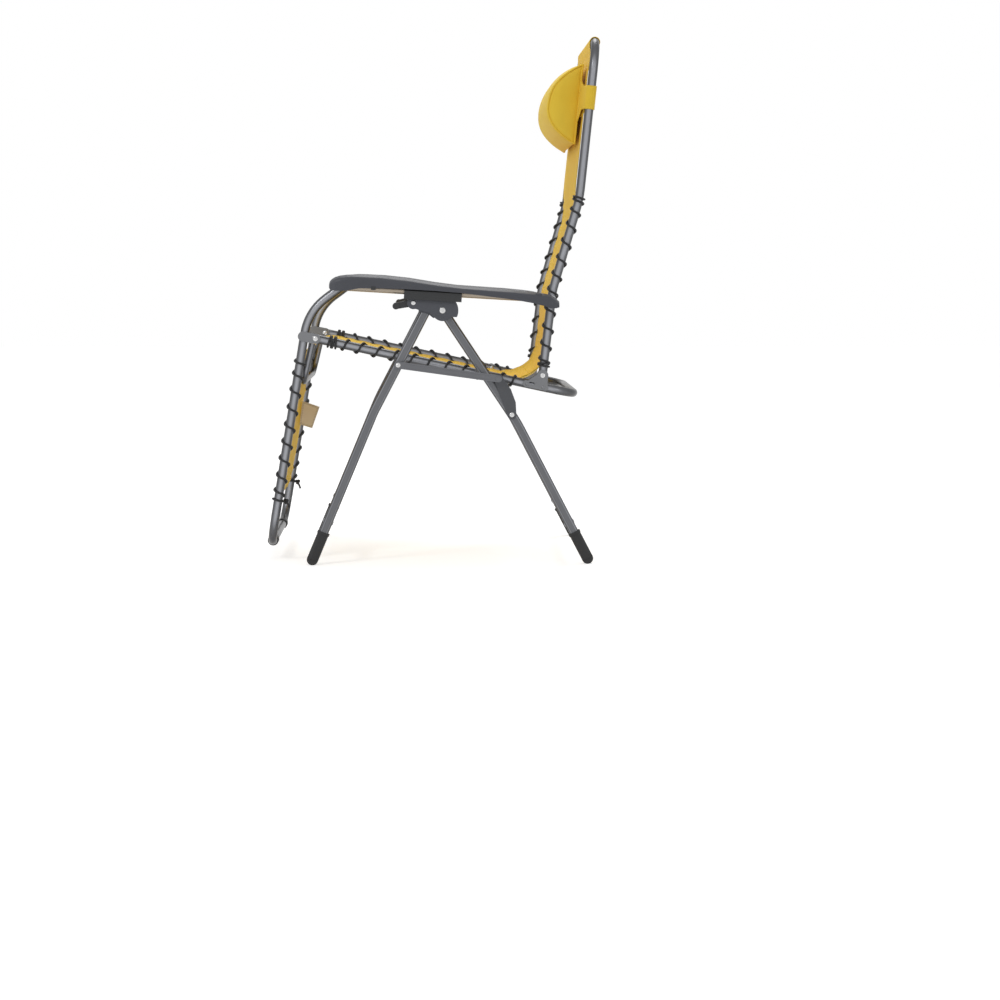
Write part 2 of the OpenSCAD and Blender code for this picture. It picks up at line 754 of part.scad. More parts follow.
module armrest() {
    stations = [[-216.5, 589.5, 600, 0.62], [-214.5, 586.5, 604.5, 0.76], [-210.5, 584.8, 608.5, 0.86],
        [-204, 584, 612.5, 0.94], [-193, 583.6, 615.8, 0.99], [-179, 583.8, 617.5, 1],
        [-168, 586, 617.9, 1], [-154, 588.8, 617.6, 1], [-109, 588.8, 615.5, 1],
        [-52, 587, 609.5, 1], [9, 583.5, 599.5, 1], [61, 579.5, 593, 1], [120, 572, 589, 1],
        [173, 565.5, 585.5, 1], [215, 558, 581.5, 1], [237, 552.5, 578.6, 1], [252, 547.5, 575.5, 0.98],
        [263, 547.5, 568.5, 0.9], [269.5, 549.5, 562, 0.72]];
    difference() {
        translate([0, arm_y, 0]) armrest_form(stations, arm_w / 2);
        // Hollow underside with closed ends and side skirts, and a deeper groove over the tube
        for (hollow = [[arm_w / 2 - arm_wall, 6], [16, 0]])
            plate(arm_y - hollow[0], arm_y + hollow[0]) polygon([
                [-206, 540], [-206, 602 - hollow[1]], [-190, 609.5 - hollow[1]], [-168, 612 - hollow[1]],
                [-109, 610 - hollow[1]], [-52, 604 - hollow[1]], [9, 594.2 - hollow[1]],
                [61, 589.5 - hollow[1]], [120, 584.5 - hollow[1]], [173, 580.6 - hollow[1]],
                [242, 575.9 - hollow[1]], [250, 566 - hollow[1]], [260, 556 - hollow[1]], [262, 530]]);
    }
    // Saddles that grip the tube near the two ends
    for (saddle = [[0, 18], [0.93, 10]])
        at(mix(arm_front, arm_rear, saddle[0]), arm_y, arm_angle) difference() {
            translate([-saddle[1], arm_wall - 0.5 - arm_w / 2, -6])
                cube([saddle[1] + 3, arm_w - 2 * arm_wall + 1, 12]);
            translate([0, 0, -8]) cylinder(d = arm_tube_d, h = 16);
        }
}

module armrest_left() { color(slate) mirror([0, 1, 0]) armrest(); }
module armrest_right() { color(slate) armrest(); }

// Bolts through the ends of the arm tubes towards the back and footrest frames
module arm_pivot_bolts() {
    inner = arm_y - arm_w / 2;
    color(silver) both() for (p = [arm_front, arm_rear]) {
        across(p, 256.2, inner, 7);
        across(p, inner, arm_y - arm_tube_d / 2 + 1, pin_r);
    }
}

// Small dark clips on the outer skirt of each armrest
module arm_tube_clips() {
    outer = arm_y + arm_w / 2;
    color(black) both() plate(outer - arm_wall - 0.3, outer + 0.6)
        translate([-128, 585.4]) square([10, 7.6]);
}

// Lock levers

module lock_lever() {
    tip = lever_pivot + [-37, -7];
    difference() {
        union() {
            across(lever_pivot, 262, 298.4, 8.2);
            // Cam nose under the clamp block
            plate(268, 292) slot_shape(lever_pivot, lever_pivot + [3, 1], 7.2);
            plate(266, 296) polygon([lever_pivot + [-3, 7.7], lever_pivot + [-2, -7.9],
                                     tip + [4, -6], tip + [0, 6.4]]);
            across(tip, 264, 298, 7.2);
        }
        across(lever_pivot, 255, 305, pin_r + running);
    }
}

module lock_lever_left() { color(black) mirror([0, 1, 0]) lock_lever(); }
module lock_lever_right() { color(black) lock_lever(); }

front_leg_left();
front_leg_right();
front_cross_tube();
front_foot_caps();
lock_housing_left();
lock_housing_right();
link_rivets();
rear_leg_left();
rear_leg_right();
rear_cross_tube();
rear_foot_caps();
brace_rivets();
brace_bracket_left();
brace_bracket_right();
seat_pivot_pins();
spreader_link_left();
spreader_link_right();
seat_frame();
seat_hinge_plates();
seat_sling();
seat_lacing();
back_hinge_pins();
back_frame();
back_pivot_bosses();
back_sling();
back_lacing();
headrest_pillow();
headrest_straps();
footrest_hinge_pins();
footrest_frame();
footrest_hinge_plates();
footrest_crossbars();
footrest_bar_caps();
footrest_pivot_bosses();
footrest_sling();
footrest_lacing();
label_tab();
clamp_pivot_pins();
arm_clamp_left();
arm_clamp_right();
clamp_bolts();
arm_tube_left();
arm_tube_right();
armrest_left();
armrest_right();
arm_pivot_bolts();
arm_tube_clips();
lock_lever_left();
lock_lever_right();
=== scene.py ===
from math import cos, pi, radians, sin

import bpy
import numpy as np
from mathutils import Matrix


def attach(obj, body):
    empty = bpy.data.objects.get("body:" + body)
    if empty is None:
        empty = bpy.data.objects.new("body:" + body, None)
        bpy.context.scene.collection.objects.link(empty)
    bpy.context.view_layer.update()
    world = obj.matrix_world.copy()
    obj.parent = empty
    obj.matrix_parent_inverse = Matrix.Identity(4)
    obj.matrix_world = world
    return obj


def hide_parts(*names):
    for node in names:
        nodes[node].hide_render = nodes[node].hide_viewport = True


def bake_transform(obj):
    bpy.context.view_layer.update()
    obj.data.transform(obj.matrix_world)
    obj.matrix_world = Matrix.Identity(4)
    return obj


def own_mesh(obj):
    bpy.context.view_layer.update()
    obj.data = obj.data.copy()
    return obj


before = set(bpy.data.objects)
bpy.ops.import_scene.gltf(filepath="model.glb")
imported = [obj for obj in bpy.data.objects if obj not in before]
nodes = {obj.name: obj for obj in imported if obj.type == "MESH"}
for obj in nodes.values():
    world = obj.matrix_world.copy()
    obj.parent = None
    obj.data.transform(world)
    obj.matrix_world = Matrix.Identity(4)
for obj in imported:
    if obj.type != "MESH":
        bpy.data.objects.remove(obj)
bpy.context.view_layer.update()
print("frame loaded:", len(nodes), "nodes")

# Camera: a level eye 5.3 m to the sitter's left, a touch above the armrests
camera = {"place": (-0.015, -5.309, 0.628), "yaw": 1.828, "pitch": 5.564, "roll": 0.114, "lens": 85.03}


def placeCamera(c):
    data = bpy.data.cameras.new("camera")
    data.lens, data.sensor_width = c["lens"], 36
    data.clip_end = 60
    eye = bpy.data.objects.new("camera", data)
    bpy.context.scene.collection.objects.link(eye)
    eye.matrix_world = (Matrix.Translation(c["place"]) @ Matrix.Rotation(-radians(c["yaw"]), 4, "Z")
                        @ Matrix.Rotation(radians(90 - c["pitch"]), 4, "X")
                        @ Matrix.Rotation(radians(c["roll"]), 4, "Z"))
    bpy.context.scene.camera = eye


placeCamera(camera)

# Centrelines of the frame in side view, [x, z] in metres, from the lower or front end
lines = {
    "seat": [(-0.2568, 0.4829), (0.250, 0.3751)],
    "back": [(0.2365, 0.394), (0.258, 0.583), (0.315, 0.780), (0.3435, 1.056)],
    "riser": [(-0.1848, 0.5973), (-0.264, 0.5386), (-0.3365, 0.098)],
}
tube = {"side": 0.241, "radius": 0.0095}   # middle of a side tube from the chair's middle plane


def pathOf(points, step=0.002, reach=20):
    # straight lengths sampled evenly, then each point moved to the mean of its neighbourhood,
    # which rounds the corners
    points = np.array(points, float)
    lengths = np.hypot(*np.diff(points, axis=0).T)
    at = np.r_[0, np.cumsum(lengths)]
    s = np.linspace(0, at[-1], int(at[-1] / step) + 1)
    line = np.stack([np.interp(s, at, points[:, k]) for k in (0, 1)], 1)
    before = 2 * line[:1] - line[reach:0:-1]
    after = 2 * line[-1:] - line[-2:-reach - 2:-1]
    padded = np.r_[before, line, after]
    kernel = np.hanning(2 * reach + 1) / np.hanning(2 * reach + 1).sum()
    smooth = np.stack([np.convolve(padded[:, k], kernel, "valid") for k in (0, 1)], 1)
    return s, smooth


def onPath(path, s):
    # point, direction and left-hand normal of a side-view path at each distance s
    at, line = path
    slope = np.gradient(line, at, axis=0)
    slope /= np.hypot(*slope.T)[:, None]
    point = np.stack([np.interp(s, at, line[:, k]) for k in (0, 1)], -1)
    ahead = np.stack([np.interp(s, at, slope[:, k]) for k in (0, 1)], -1)
    # beyond either end the path goes straight on
    over = np.clip(s - at[-1], 0, None)[..., None] * slope[-1] + np.clip(s, None, 0)[..., None] * slope[0]
    return point + over, ahead, np.stack([-ahead[..., 1], ahead[..., 0]], -1)


paths = {name: pathOf(points) for name, points in lines.items()}


def gridFaces(rows, cols, wrapRows=False, wrapCols=False):
    # quads between neighbouring points of a grid of rows and columns
    i = np.arange(rows if wrapRows else rows - 1)[:, None]
    j = np.arange(cols if wrapCols else cols - 1)[None, :]
    row, nextRow, nextCol = i * cols, (i + 1) % rows * cols, (j + 1) % cols
    return np.stack([row + j, row + nextCol, nextRow + nextCol, nextRow + j], -1).reshape(-1, 4)


def makePiece(name, points, faces, material, uv=None, marks=None):
    # a mesh from arrays: points (n, 3), faces a list of equal-length rows or of several such arrays
    groups = faces if isinstance(faces, (list, tuple)) else [faces]
    mesh = bpy.data.meshes.new(name)
    loops = np.concatenate([np.asarray(g).ravel() for g in groups]).astype(np.int32)
    sizes = np.concatenate([np.full(len(g), np.asarray(g).shape[1]) for g in groups]).astype(np.int32)
    mesh.vertices.add(len(points))
    mesh.vertices.foreach_set("co", np.asarray(points, np.float32).ravel())
    mesh.loops.add(len(loops))
    mesh.loops.foreach_set("vertex_index", loops)
    mesh.polygons.add(len(sizes))
    mesh.polygons.foreach_set("loop_start", np.r_[0, np.cumsum(sizes)[:-1]].astype(np.int32))
    mesh.polygons.foreach_set("loop_total", sizes)
    mesh.update(calc_edges=True)
    if uv is not None:
        layer = mesh.uv_layers.new(name="UVMap")
        layer.data.foreach_set("uv", np.asarray(uv, np.float32)[loops].ravel())
    for key, values in (marks or {}).items():
        mark = mesh.attributes.new(key, "FLOAT", "POINT")
        mark.data.foreach_set("value", np.asarray(values, np.float32).ravel())
    mesh.polygons.foreach_set("use_smooth", np.full(len(sizes), True))
    mesh.materials.append(material)
    piece = bpy.data.objects.new(name, mesh)
    bpy.context.scene.collection.objects.link(piece)
    return piece


def unit(v):
    return v / np.maximum(np.linalg.norm(v, axis=-1, keepdims=True), 1e-9)


def carry(path, hint, section, closed=False):
    # a closed section of (a, b) offsets carried along a path: a is along the hint made square to the path,
    # b is square to both
    ahead = unit(np.roll(path, -1, 0) - np.roll(path, 1, 0)) if closed else unit(np.gradient(path, axis=0))
    up = unit(hint - (hint * ahead).sum(-1, keepdims=True) * ahead)
    across = np.cross(ahead, up)
    section = np.broadcast_to(section, (len(path),) + np.shape(section)[-2:])
    points = path[:, None] + section[..., :1] * up[:, None] + section[..., 1:] * across[:, None]
    return points.reshape(-1, 3), gridFaces(len(path), section.shape[1], closed, True)


def ring(radius, count):
    a = np.arange(count) / count * 2 * pi
    return np.stack([radius * np.cos(a), radius * np.sin(a)], -1)


def endCaps(rows, cols):
    # one many-sided face over each end of a carried section
    return [np.arange(cols)[None, ::-1], (rows - 1) * cols + np.arange(cols)[None]]


# Materials

def nodeGroup(name, inputs, outputs):
    group = bpy.data.node_groups.new(name, "ShaderNodeTree")
    for label, kind, value in inputs:
        socket = group.interface.new_socket(label, in_out="INPUT", socket_type="NodeSocket" + kind)
        socket.default_value = value
    for label, kind in outputs:
        group.interface.new_socket(label, in_out="OUTPUT", socket_type="NodeSocket" + kind)
    return group, group.nodes.new("NodeGroupInput"), group.nodes.new("NodeGroupOutput")


def join(tree, source, target):
    tree.links.new(source, target)


def mathNode(tree, kind, a, b=None, clamp=False):
    n = tree.nodes.new("ShaderNodeMath")
    n.operation, n.use_clamp = kind, clamp
    for socket, value in zip(n.inputs, (a, b)):
        if isinstance(value, (int, float)):
            socket.default_value = value
        elif value is not None:
            join(tree, value, socket)
    return n.outputs[0]


def mixNode(tree, factor, a, b):
    n = tree.nodes.new("ShaderNodeMix")
    n.data_type = "RGBA"
    for socket, value in ((n.inputs[0], factor), (n.inputs[6], a), (n.inputs[7], b)):
        if isinstance(value, (int, float, tuple)):
            socket.default_value = value
        else:
            join(tree, value, socket)
    return n.outputs[2]


def noiseNode(tree, vector, scale, detail=2.0, rough=0.5):
    n = tree.nodes.new("ShaderNodeTexNoise")
    n.inputs["Scale"].default_value, n.inputs["Detail"].default_value = scale, detail
    n.inputs["Roughness"].default_value = rough
    join(tree, vector, n.inputs["Vector"])
    return n.outputs[0]


def makeGrain():
    # fine noise for paint and plastic: a height, and a slow mottle from 0 to 1
    group, start, end = nodeGroup("grain", [("Vector", "Vector", (0, 0, 0)), ("Fine", "Float", 900.0),
                                            ("Slow", "Float", 14.0)],
                                  [("Height", "Float"), ("Mottle", "Float")])
    for label, size, detail in (("Height", "Fine", 3.0), ("Mottle", "Slow", 4.0)):
        n = group.nodes.new("ShaderNodeTexNoise")
        n.inputs["Detail"].default_value = detail
        join(group, start.outputs["Vector"], n.inputs["Vector"])
        join(group, start.outputs[size], n.inputs["Scale"])
        join(group, n.outputs[0], end.inputs[label])
    return group


def makeWeave():
    # plain weave: warp and weft are sine ridges along the two axes of the vector, and each thread
    # passes over and under the other in turn
    group, start, end = nodeGroup("weave", [("Vector", "Vector", (0, 0, 0)), ("Threads", "Float", 900.0),
                                            ("Slub", "Float", 0.2)],
                                  [("Height", "Float"), ("Gap", "Float"), ("Tone", "Float")])
    split = group.nodes.new("ShaderNodeSeparateXYZ")
    join(group, start.outputs["Vector"], split.inputs[0])
    turns = mathNode(group, "MULTIPLY", start.outputs["Threads"], pi)
    wobble = noiseNode(group, start.outputs["Vector"], 60, 2)
    shift = mathNode(group, "MULTIPLY", mathNode(group, "SUBTRACT", wobble, 0.5), start.outputs["Slub"])
    waves = []
    for k in (0, 1):
        phase = mathNode(group, "ADD", mathNode(group, "MULTIPLY", split.outputs[k], turns),
                         mathNode(group, "MULTIPLY", shift, 6.0))
        waves.append(mathNode(group, "SINE", phase))
    ridge = [mathNode(group, "ABSOLUTE", w) for w in waves]
    turn = mathNode(group, "MULTIPLY", *waves)   # sign tells which thread is on top
    over = mathNode(group, "MULTIPLY_ADD", turn, 0.5)
    over.node.inputs[2].default_value = 0.5
    height = mathNode(group, "ADD", mathNode(group, "MULTIPLY", ridge[0], over),
                      mathNode(group, "MULTIPLY", ridge[1], mathNode(group, "SUBTRACT", 1.0, over)))
    join(group, height, end.inputs["Height"])
    hole = mathNode(group, "MULTIPLY", mathNode(group, "SUBTRACT", 1.0, ridge[0]),
                    mathNode(group, "SUBTRACT", 1.0, ridge[1]))
    join(group, mathNode(group, "POWER", hole, 2.0), end.inputs["Gap"])
    join(group, noiseNode(group, start.outputs["Vector"], 9, 3), end.inputs["Tone"])
    return group


def makeWear():
    # rubbed places: 1 where a broad noise and a fine noise both run high
    group, start, end = nodeGroup("wear", [("Vector", "Vector", (0, 0, 0)), ("Amount", "Float", 0.3)],
                                  [("Mask", "Float")])
    broad = noiseNode(group, start.outputs["Vector"], 22, 4, 0.6)
    fine = noiseNode(group, start.outputs["Vector"], 260, 3, 0.7)
    both = mathNode(group, "MULTIPLY", broad, fine)
    level = mathNode(group, "SUBTRACT", 0.62, mathNode(group, "MULTIPLY", start.outputs["Amount"], 0.4))
    mask = mathNode(group, "MULTIPLY", mathNode(group, "SUBTRACT", both, level), 9.0, clamp=True)
    join(group, mask, end.inputs["Mask"])
    return group


def makeHem():
    # two rows of stitches beside an edge: 1 within half a thread of either row, broken into stitches
    # along the edge by a square wave
    perThread, perMetre, share = 1100.0, 260.0, 0.72   # one over a thread's half width; stitches; part laid
    group, start, end = nodeGroup("hem", [("Rim", "Float", 0.0), ("Along", "Float", 0.0),
                                          ("First", "Float", 0.004), ("Second", "Float", 0.030)],
                                  [("Stitch", "Float"), ("Fold", "Float")])
    rows = []
    for label in ("First", "Second"):
        offset = mathNode(group, "SUBTRACT", start.outputs["Rim"], start.outputs[label])
        away = mathNode(group, "MULTIPLY", mathNode(group, "ABSOLUTE", offset), perThread)
        rows.append(mathNode(group, "SUBTRACT", 1.0, away, clamp=True))
    beat = mathNode(group, "FRACT", mathNode(group, "MULTIPLY", start.outputs["Along"], perMetre))
    laid = mathNode(group, "LESS_THAN", beat, share)
    join(group, mathNode(group, "MULTIPLY", mathNode(group, "MAXIMUM", *rows), laid), end.inputs["Stitch"])
    inside = mathNode(group, "LESS_THAN", start.outputs["Rim"], start.outputs["Second"])
    join(group, inside, end.inputs["Fold"])
    return group


groups = {"grain": makeGrain(), "weave": makeWeave(), "wear": makeWear(), "hem": makeHem()}


def startMaterial(name, vector="Object"):
    m = bpy.data.materials.new(name)
    m.use_nodes = True
    tree = m.node_tree
    shader = tree.nodes["Principled BSDF"]
    if vector == "UV":
        source = tree.nodes.new("ShaderNodeUVMap")
        source.uv_map = "UVMap"
        where = source.outputs[0]
    else:
        where = tree.nodes.new("ShaderNodeTexCoord").outputs["Object"]
    return m, tree, shader, where


def place(tree, key, vector, **values):
    n = tree.nodes.new("ShaderNodeGroup")
    n.node_tree = groups[key]
    if vector is not None:
        join(tree, vector, n.inputs["Vector"])
    for label, value in values.items():
        n.inputs[label].default_value = value
    return n.outputs


def bump(tree, shader, height, strength, distance):
    n = tree.nodes.new("ShaderNodeBump")
    n.inputs["Strength"].default_value, n.inputs["Distance"].default_value = strength, distance
    join(tree, height, n.inputs["Height"])
    join(tree, n.outputs[0], shader.inputs["Normal"])


def setRough(tree, shader, mottle, low, high):
    n = tree.nodes.new("ShaderNodeMapRange")
    n.inputs["To Min"].default_value, n.inputs["To Max"].default_value = low, high
    join(tree, mottle, n.inputs["Value"])
    join(tree, n.outputs[0], shader.inputs["Roughness"])


# Finishes of the hard parts: colour, lighter colour of the rubbed places, roughness range, grain size
# and height; round paints light and shade against how far the surface turns away, for tubes: a painted
# highlight and painted shade
finishes = {
    "gunmetalTube": {"color": (0.125, 0.128, 0.138), "rubbed": (0.28, 0.28, 0.29), "rough": (0.24, 0.36),
                     "round": ((0.0, 3.0), (0.07, 1.9), (0.16, 1.0), (0.45, 0.5), (0.75, 0.3)), "metal": 0.5,
                     "fine": 1400.0, "relief": 0.00004, "wear": 0.10},
    # the oval legs' round stops paint a highlight stripe a little off the middle, with painted shade at the
    # outlines
    "ovalTube": {"color": (0.125, 0.128, 0.138), "rubbed": (0.28, 0.28, 0.29), "rough": (0.24, 0.36),
                 "round": ((0.0, 1.25), (0.03, 0.95), (0.09, 1.9), (0.28, 1.0), (0.55, 0.4)), "metal": 0.5,
                 "fine": 1400.0, "relief": 0.00004, "wear": 0.10},
    "darkBracket": {"color": (0.085, 0.088, 0.096), "rubbed": (0.25, 0.25, 0.26), "rough": (0.32, 0.46),
                    "metal": 0.6, "fine": 1400.0, "relief": 0.00004, "wear": 0.12},
    "blackRubber": {"color": (0.016, 0.016, 0.017), "rubbed": (0.06, 0.06, 0.06), "rough": (0.55, 0.72),
                    "metal": 0.0, "fine": 700.0, "relief": 0.00012, "wear": 0.2},
    "housingPlastic": {"color": (0.066, 0.070, 0.084), "rubbed": (0.14, 0.15, 0.17), "rough": (0.36, 0.5),
                       "metal": 0.0, "fine": 1100.0, "relief": 0.00007, "wear": 0.1},
    "blackPlastic": {"color": (0.020, 0.021, 0.023), "rubbed": (0.07, 0.07, 0.07), "rough": (0.34, 0.5),
                     "metal": 0.0, "fine": 1100.0, "relief": 0.00007, "wear": 0.1},
    "brightSteel": {"color": (0.60, 0.60, 0.60), "rubbed": (0.74, 0.74, 0.73), "rough": (0.2, 0.34),
                    "metal": 1.0, "fine": 2200.0, "relief": 0.00002, "wear": 0.3},
    "hingePlate": {"color": (0.20, 0.204, 0.214), "rubbed": (0.5, 0.5, 0.5), "rough": (0.3, 0.42),
                   "metal": 0.8, "fine": 1600.0, "relief": 0.00003, "wear": 0.15},
    "armTubePaint": {"color": (0.40, 0.34, 0.27), "rubbed": (0.55, 0.5, 0.44), "rough": (0.25, 0.36),
                     "metal": 0.6, "fine": 1500.0, "relief": 0.00003, "wear": 0.1},
    "armrestPlastic": {"color": (0.052, 0.055, 0.067), "rubbed": (0.11, 0.12, 0.14), "rough": (0.4, 0.54),
                       "metal": 0.0, "fine": 1000.0, "relief": 0.0001, "wear": 0.08},
}


def hardMaterial(name, f):
    m, tree, shader, where = startMaterial(name)
    grain = place(tree, "grain", where, Fine=f["fine"])
    wear = place(tree, "wear", where, Amount=f["wear"])
    dark = tuple(c * 0.86 for c in f["color"]) + (1,)
    base = mixNode(tree, grain["Mottle"], dark, tuple(c * 1.1 for c in f["color"]) + (1,))
    color = mixNode(tree, wear["Mask"], base, f["rubbed"] + (1,))
    if "round" in f:
        # painted highlight down the middle, painted shade towards both outlines: colour times a ramp of facing,
        # where the ramp is kept at a third of its size so that it fits 0 to 1
        largest = 3
        turned = tree.nodes.new("ShaderNodeLayerWeight")
        turned.inputs["Blend"].default_value = 0.5
        paintedLightRamp = tree.nodes.new("ShaderNodeValToRGB")
        stops = paintedLightRamp.color_ramp.elements
        for n, (spot, level) in enumerate(f["round"]):
            stop = stops[n] if n < 2 else stops.new(spot)
            stop.position, stop.color = spot, (level / largest,) * 3 + (1,)
        join(tree, turned.outputs["Facing"], paintedLightRamp.inputs[0])
        scale = tree.nodes.new("ShaderNodeVectorMath")
        scale.operation = "SCALE"
        scale.inputs["Scale"].default_value = largest
        join(tree, paintedLightRamp.outputs[0], scale.inputs[0])
        times = tree.nodes.new("ShaderNodeVectorMath")
        times.operation = "MULTIPLY"
        join(tree, color, times.inputs[0])
        join(tree, scale.outputs[0], times.inputs[1])
        color = times.outputs[0]
    join(tree, color, shader.inputs["Base Color"])
    setRough(tree, shader, grain["Mottle"], *f["rough"])
    shader.inputs["Metallic"].default_value = f["metal"]
    bump(tree, shader, grain["Height"], 0.5, f["relief"])
    return m


materials = {name: hardMaterial(name, f) for name, f in finishes.items()}

# Woven finishes: deep and light colour, threads per metre, rows of hem stitches, relief, colour of the gaps
cloths = {
    "slingFabric": {"deep": (0.80, 0.48, 0.020), "light": (0.95, 0.66, 0.050), "threads": 850.0,
                    "hem": (0.0025, 0.026), "relief": 0.00022, "rough": (0.6, 0.75),
                    "gap": (0.55, 0.31, 0.02)},
    "pillowFabric": {"deep": (0.86, 0.57, 0.040), "light": (0.96, 0.71, 0.08), "threads": 1300.0,
                     "relief": 0.00012, "rough": (0.6, 0.75), "gap": (0.48, 0.27, 0.03)},
    "strapWebbing": {"deep": (0.82, 0.52, 0.030), "light": (0.95, 0.68, 0.065), "threads": 1000.0,
                     "relief": 0.0002, "rough": (0.6, 0.75), "gap": (0.5, 0.29, 0.03)},
    "tabCloth": {"deep": (0.90, 0.83, 0.73), "light": (0.95, 0.90, 0.82), "threads": 1500.0,
                 "hem": (0.002, 0.004), "relief": 0.0001, "rough": (0.7, 0.85), "gap": (0.80, 0.71, 0.60)},
}


def clothMaterial(name, f):
    m, tree, shader, where = startMaterial(name, "UV")
    weave = place(tree, "weave", where, Threads=f["threads"])
    tone = mixNode(tree, weave["Tone"], f["deep"] + (1,), f["light"] + (1,))
    color, height = mixNode(tree, weave["Gap"], tone, f["gap"] + (1,)), weave["Height"]
    if "hem" in f:
        # height = weave + 1.5 fold - 2 stitch, and the stitches are darker
        rim = tree.nodes.new("ShaderNodeAttribute")
        rim.attribute_name = "rim"
        split = tree.nodes.new("ShaderNodeSeparateXYZ")
        join(tree, where, split.inputs[0])
        hem = place(tree, "hem", None, First=f["hem"][0], Second=f["hem"][1])
        join(tree, rim.outputs["Fac"], hem[0].node.inputs["Rim"])
        join(tree, split.outputs[1], hem[0].node.inputs["Along"])
        color = mixNode(tree, hem["Stitch"], color, tuple(c * 0.55 for c in f["deep"]) + (1,))
        height = mathNode(tree, "ADD", height, mathNode(tree, "MULTIPLY", hem["Fold"], 1.5))
        height = mathNode(tree, "SUBTRACT", height, mathNode(tree, "MULTIPLY", hem["Stitch"], 2.0))
    join(tree, color, shader.inputs["Base Color"])
    setRough(tree, shader, weave["Tone"], *f["rough"])
    shader.inputs["Sheen Weight"].default_value = 0.08
    shader.inputs["Sheen Roughness"].default_value = 0.5
    shader.inputs["Specular IOR Level"].default_value = 0.2
    bump(tree, shader, height, 0.6, f["relief"])
    return m


materials.update({name: clothMaterial(name, f) for name, f in cloths.items()})


def braidMaterial():
    # diagonal threads of a braided sheath, from the cord's own UV: u once round it, v in metres
    m, tree, shader, where = startMaterial("elasticCord", "UV")
    split = tree.nodes.new("ShaderNodeSeparateXYZ")
    join(tree, where, split.inputs[0])
    along = mathNode(tree, "MULTIPLY", split.outputs[1], 900.0)
    around = mathNode(tree, "MULTIPLY", split.outputs[0], 12 * pi)
    left = mathNode(tree, "SINE", mathNode(tree, "ADD", along, around))
    right = mathNode(tree, "SINE", mathNode(tree, "SUBTRACT", along, around))
    height = mathNode(tree, "MAXIMUM", left, right)
    base = mixNode(tree, mathNode(tree, "MULTIPLY", height, 0.5, clamp=True),
                   (0.008, 0.008, 0.009, 1), (0.032, 0.032, 0.035, 1))
    join(tree, base, shader.inputs["Base Color"])
    shader.inputs["Roughness"].default_value = 0.62
    bump(tree, shader, height, 0.5, 0.0002)
    return m


materials["elasticCord"] = braidMaterial()
print("materials made:", len(materials))

# Which finish each carried node wears
wearing = {
    "gunmetalTube": ["front_cross_tube", "rear_cross_tube", "seat_frame", "back_frame", "footrest_frame",
                     "footrest_crossbars", "back_pivot_bosses", "footrest_pivot_bosses"],
    "ovalTube": ["front_leg_left", "front_leg_right", "rear_leg_left", "rear_leg_right",
                 "spreader_link_left", "spreader_link_right"],
    "darkBracket": ["brace_bracket_left", "brace_bracket_right"],
    "blackRubber": ["front_foot_caps", "rear_foot_caps", "footrest_bar_caps"],
    "housingPlastic": ["lock_housing_left", "lock_housing_right"],
    "blackPlastic": ["arm_clamp_left", "arm_clamp_right", "arm_tube_clips",
                     "lock_lever_left", "lock_lever_right"],
    "brightSteel": ["link_rivets", "brace_rivets", "seat_pivot_pins", "back_hinge_pins", "footrest_hinge_pins",
                    "clamp_pivot_pins", "clamp_bolts", "arm_pivot_bolts"],
    "hingePlate": ["footrest_hinge_plates", "seat_hinge_plates"],
    "armTubePaint": ["arm_tube_left", "arm_tube_right"],
    "armrestPlastic": ["armrest_left", "armrest_right"],
}
for finish, names in wearing.items():
    for name in names:
        mesh = nodes[name].data
        mesh.materials.clear()
        mesh.materials.append(materials[finish])

# Where the elastic cord passes outside the tube, as distances along each side tube
loops = {
    "back": [0.0355, 0.073, 0.110, 0.145, 0.192, 0.2225, 0.257, 0.296, 0.3315, 0.370, 0.389],
    "seat": [0.068, 0.1055, 0.143, 0.1805, 0.218, 0.2555, 0.293, 0.3305, 0.368, 0.4175, 0.441],
    "riser": [0.207, 0.235, 0.273, 0.312, 0.349, 0.386, 0.4225, 0.459, 0.496],
}


def eyeletsOf(name):
    # the cord passes through the fabric half way between its loops round the tube
    p = np.array(loops[name])
    middle = (p[1:] + p[:-1]) / 2
    return np.r_[p[0] - min(middle[0] - p[0], 0.008), middle, p[-1] + min(p[-1] - middle[-1], 0.009)]


sling = {"hole": 0.2135, "pull": 0.0045, "hollow": 0.0055, "thick": 0.0015, "ripple": 0.0022, "reach": 0.030,
         "seam": 0.006, "step": 0.0022, "unlaced": 0.2105}


def ease(x, a, b):
    # 0 before a, 1 after b, smooth between
    t = np.clip((x - a) / (b - a), 0, 1)
    return t * t * (3 - 2 * t)


def laceWave(name, s):
    # runs from 1 at each eyelet to 0 half way between two, like a shallow arc; 0 beyond the lacing
    e = eyeletsOf(name)
    k = np.clip(np.searchsorted(e, s) - 1, 0, len(e) - 2)
    f = np.clip((s - e[k]) / (e[k + 1] - e[k]), 0, 1)
    laced = np.clip(np.minimum(s - e[0] + 0.012, e[-1] + 0.012 - s) / 0.012, 0, 1)
    return (1 - np.sin(pi * f) ** 0.75) * laced


def holeAt(name, s):
    # how far out the eyelets are; nearer the tube at the front of the seat, where the knee bar folds in
    return sling["hole"] + (0.009 * (1 - ease(s, 0.090, 0.120)) if name == "seat" else 0)


def edgeOf(name, s):
    # half width: out past each eyelet, drawn in between two of them
    return holeAt(name, s) + sling["pull"] - (1 - laceWave(name, s)) * sling["hollow"]


def nearest(name, points):
    # distance along a side tube of the place nearest each side-view point
    at, line = paths[name]
    return at[np.argmin(((points[:, None] - line[None]) ** 2).sum(-1), axis=1)]


spread = np.linspace(-1, 1, 57)
spread = np.sin(spread * pi / 2) * 0.3 + spread * 0.7   # columns gather towards the two edges


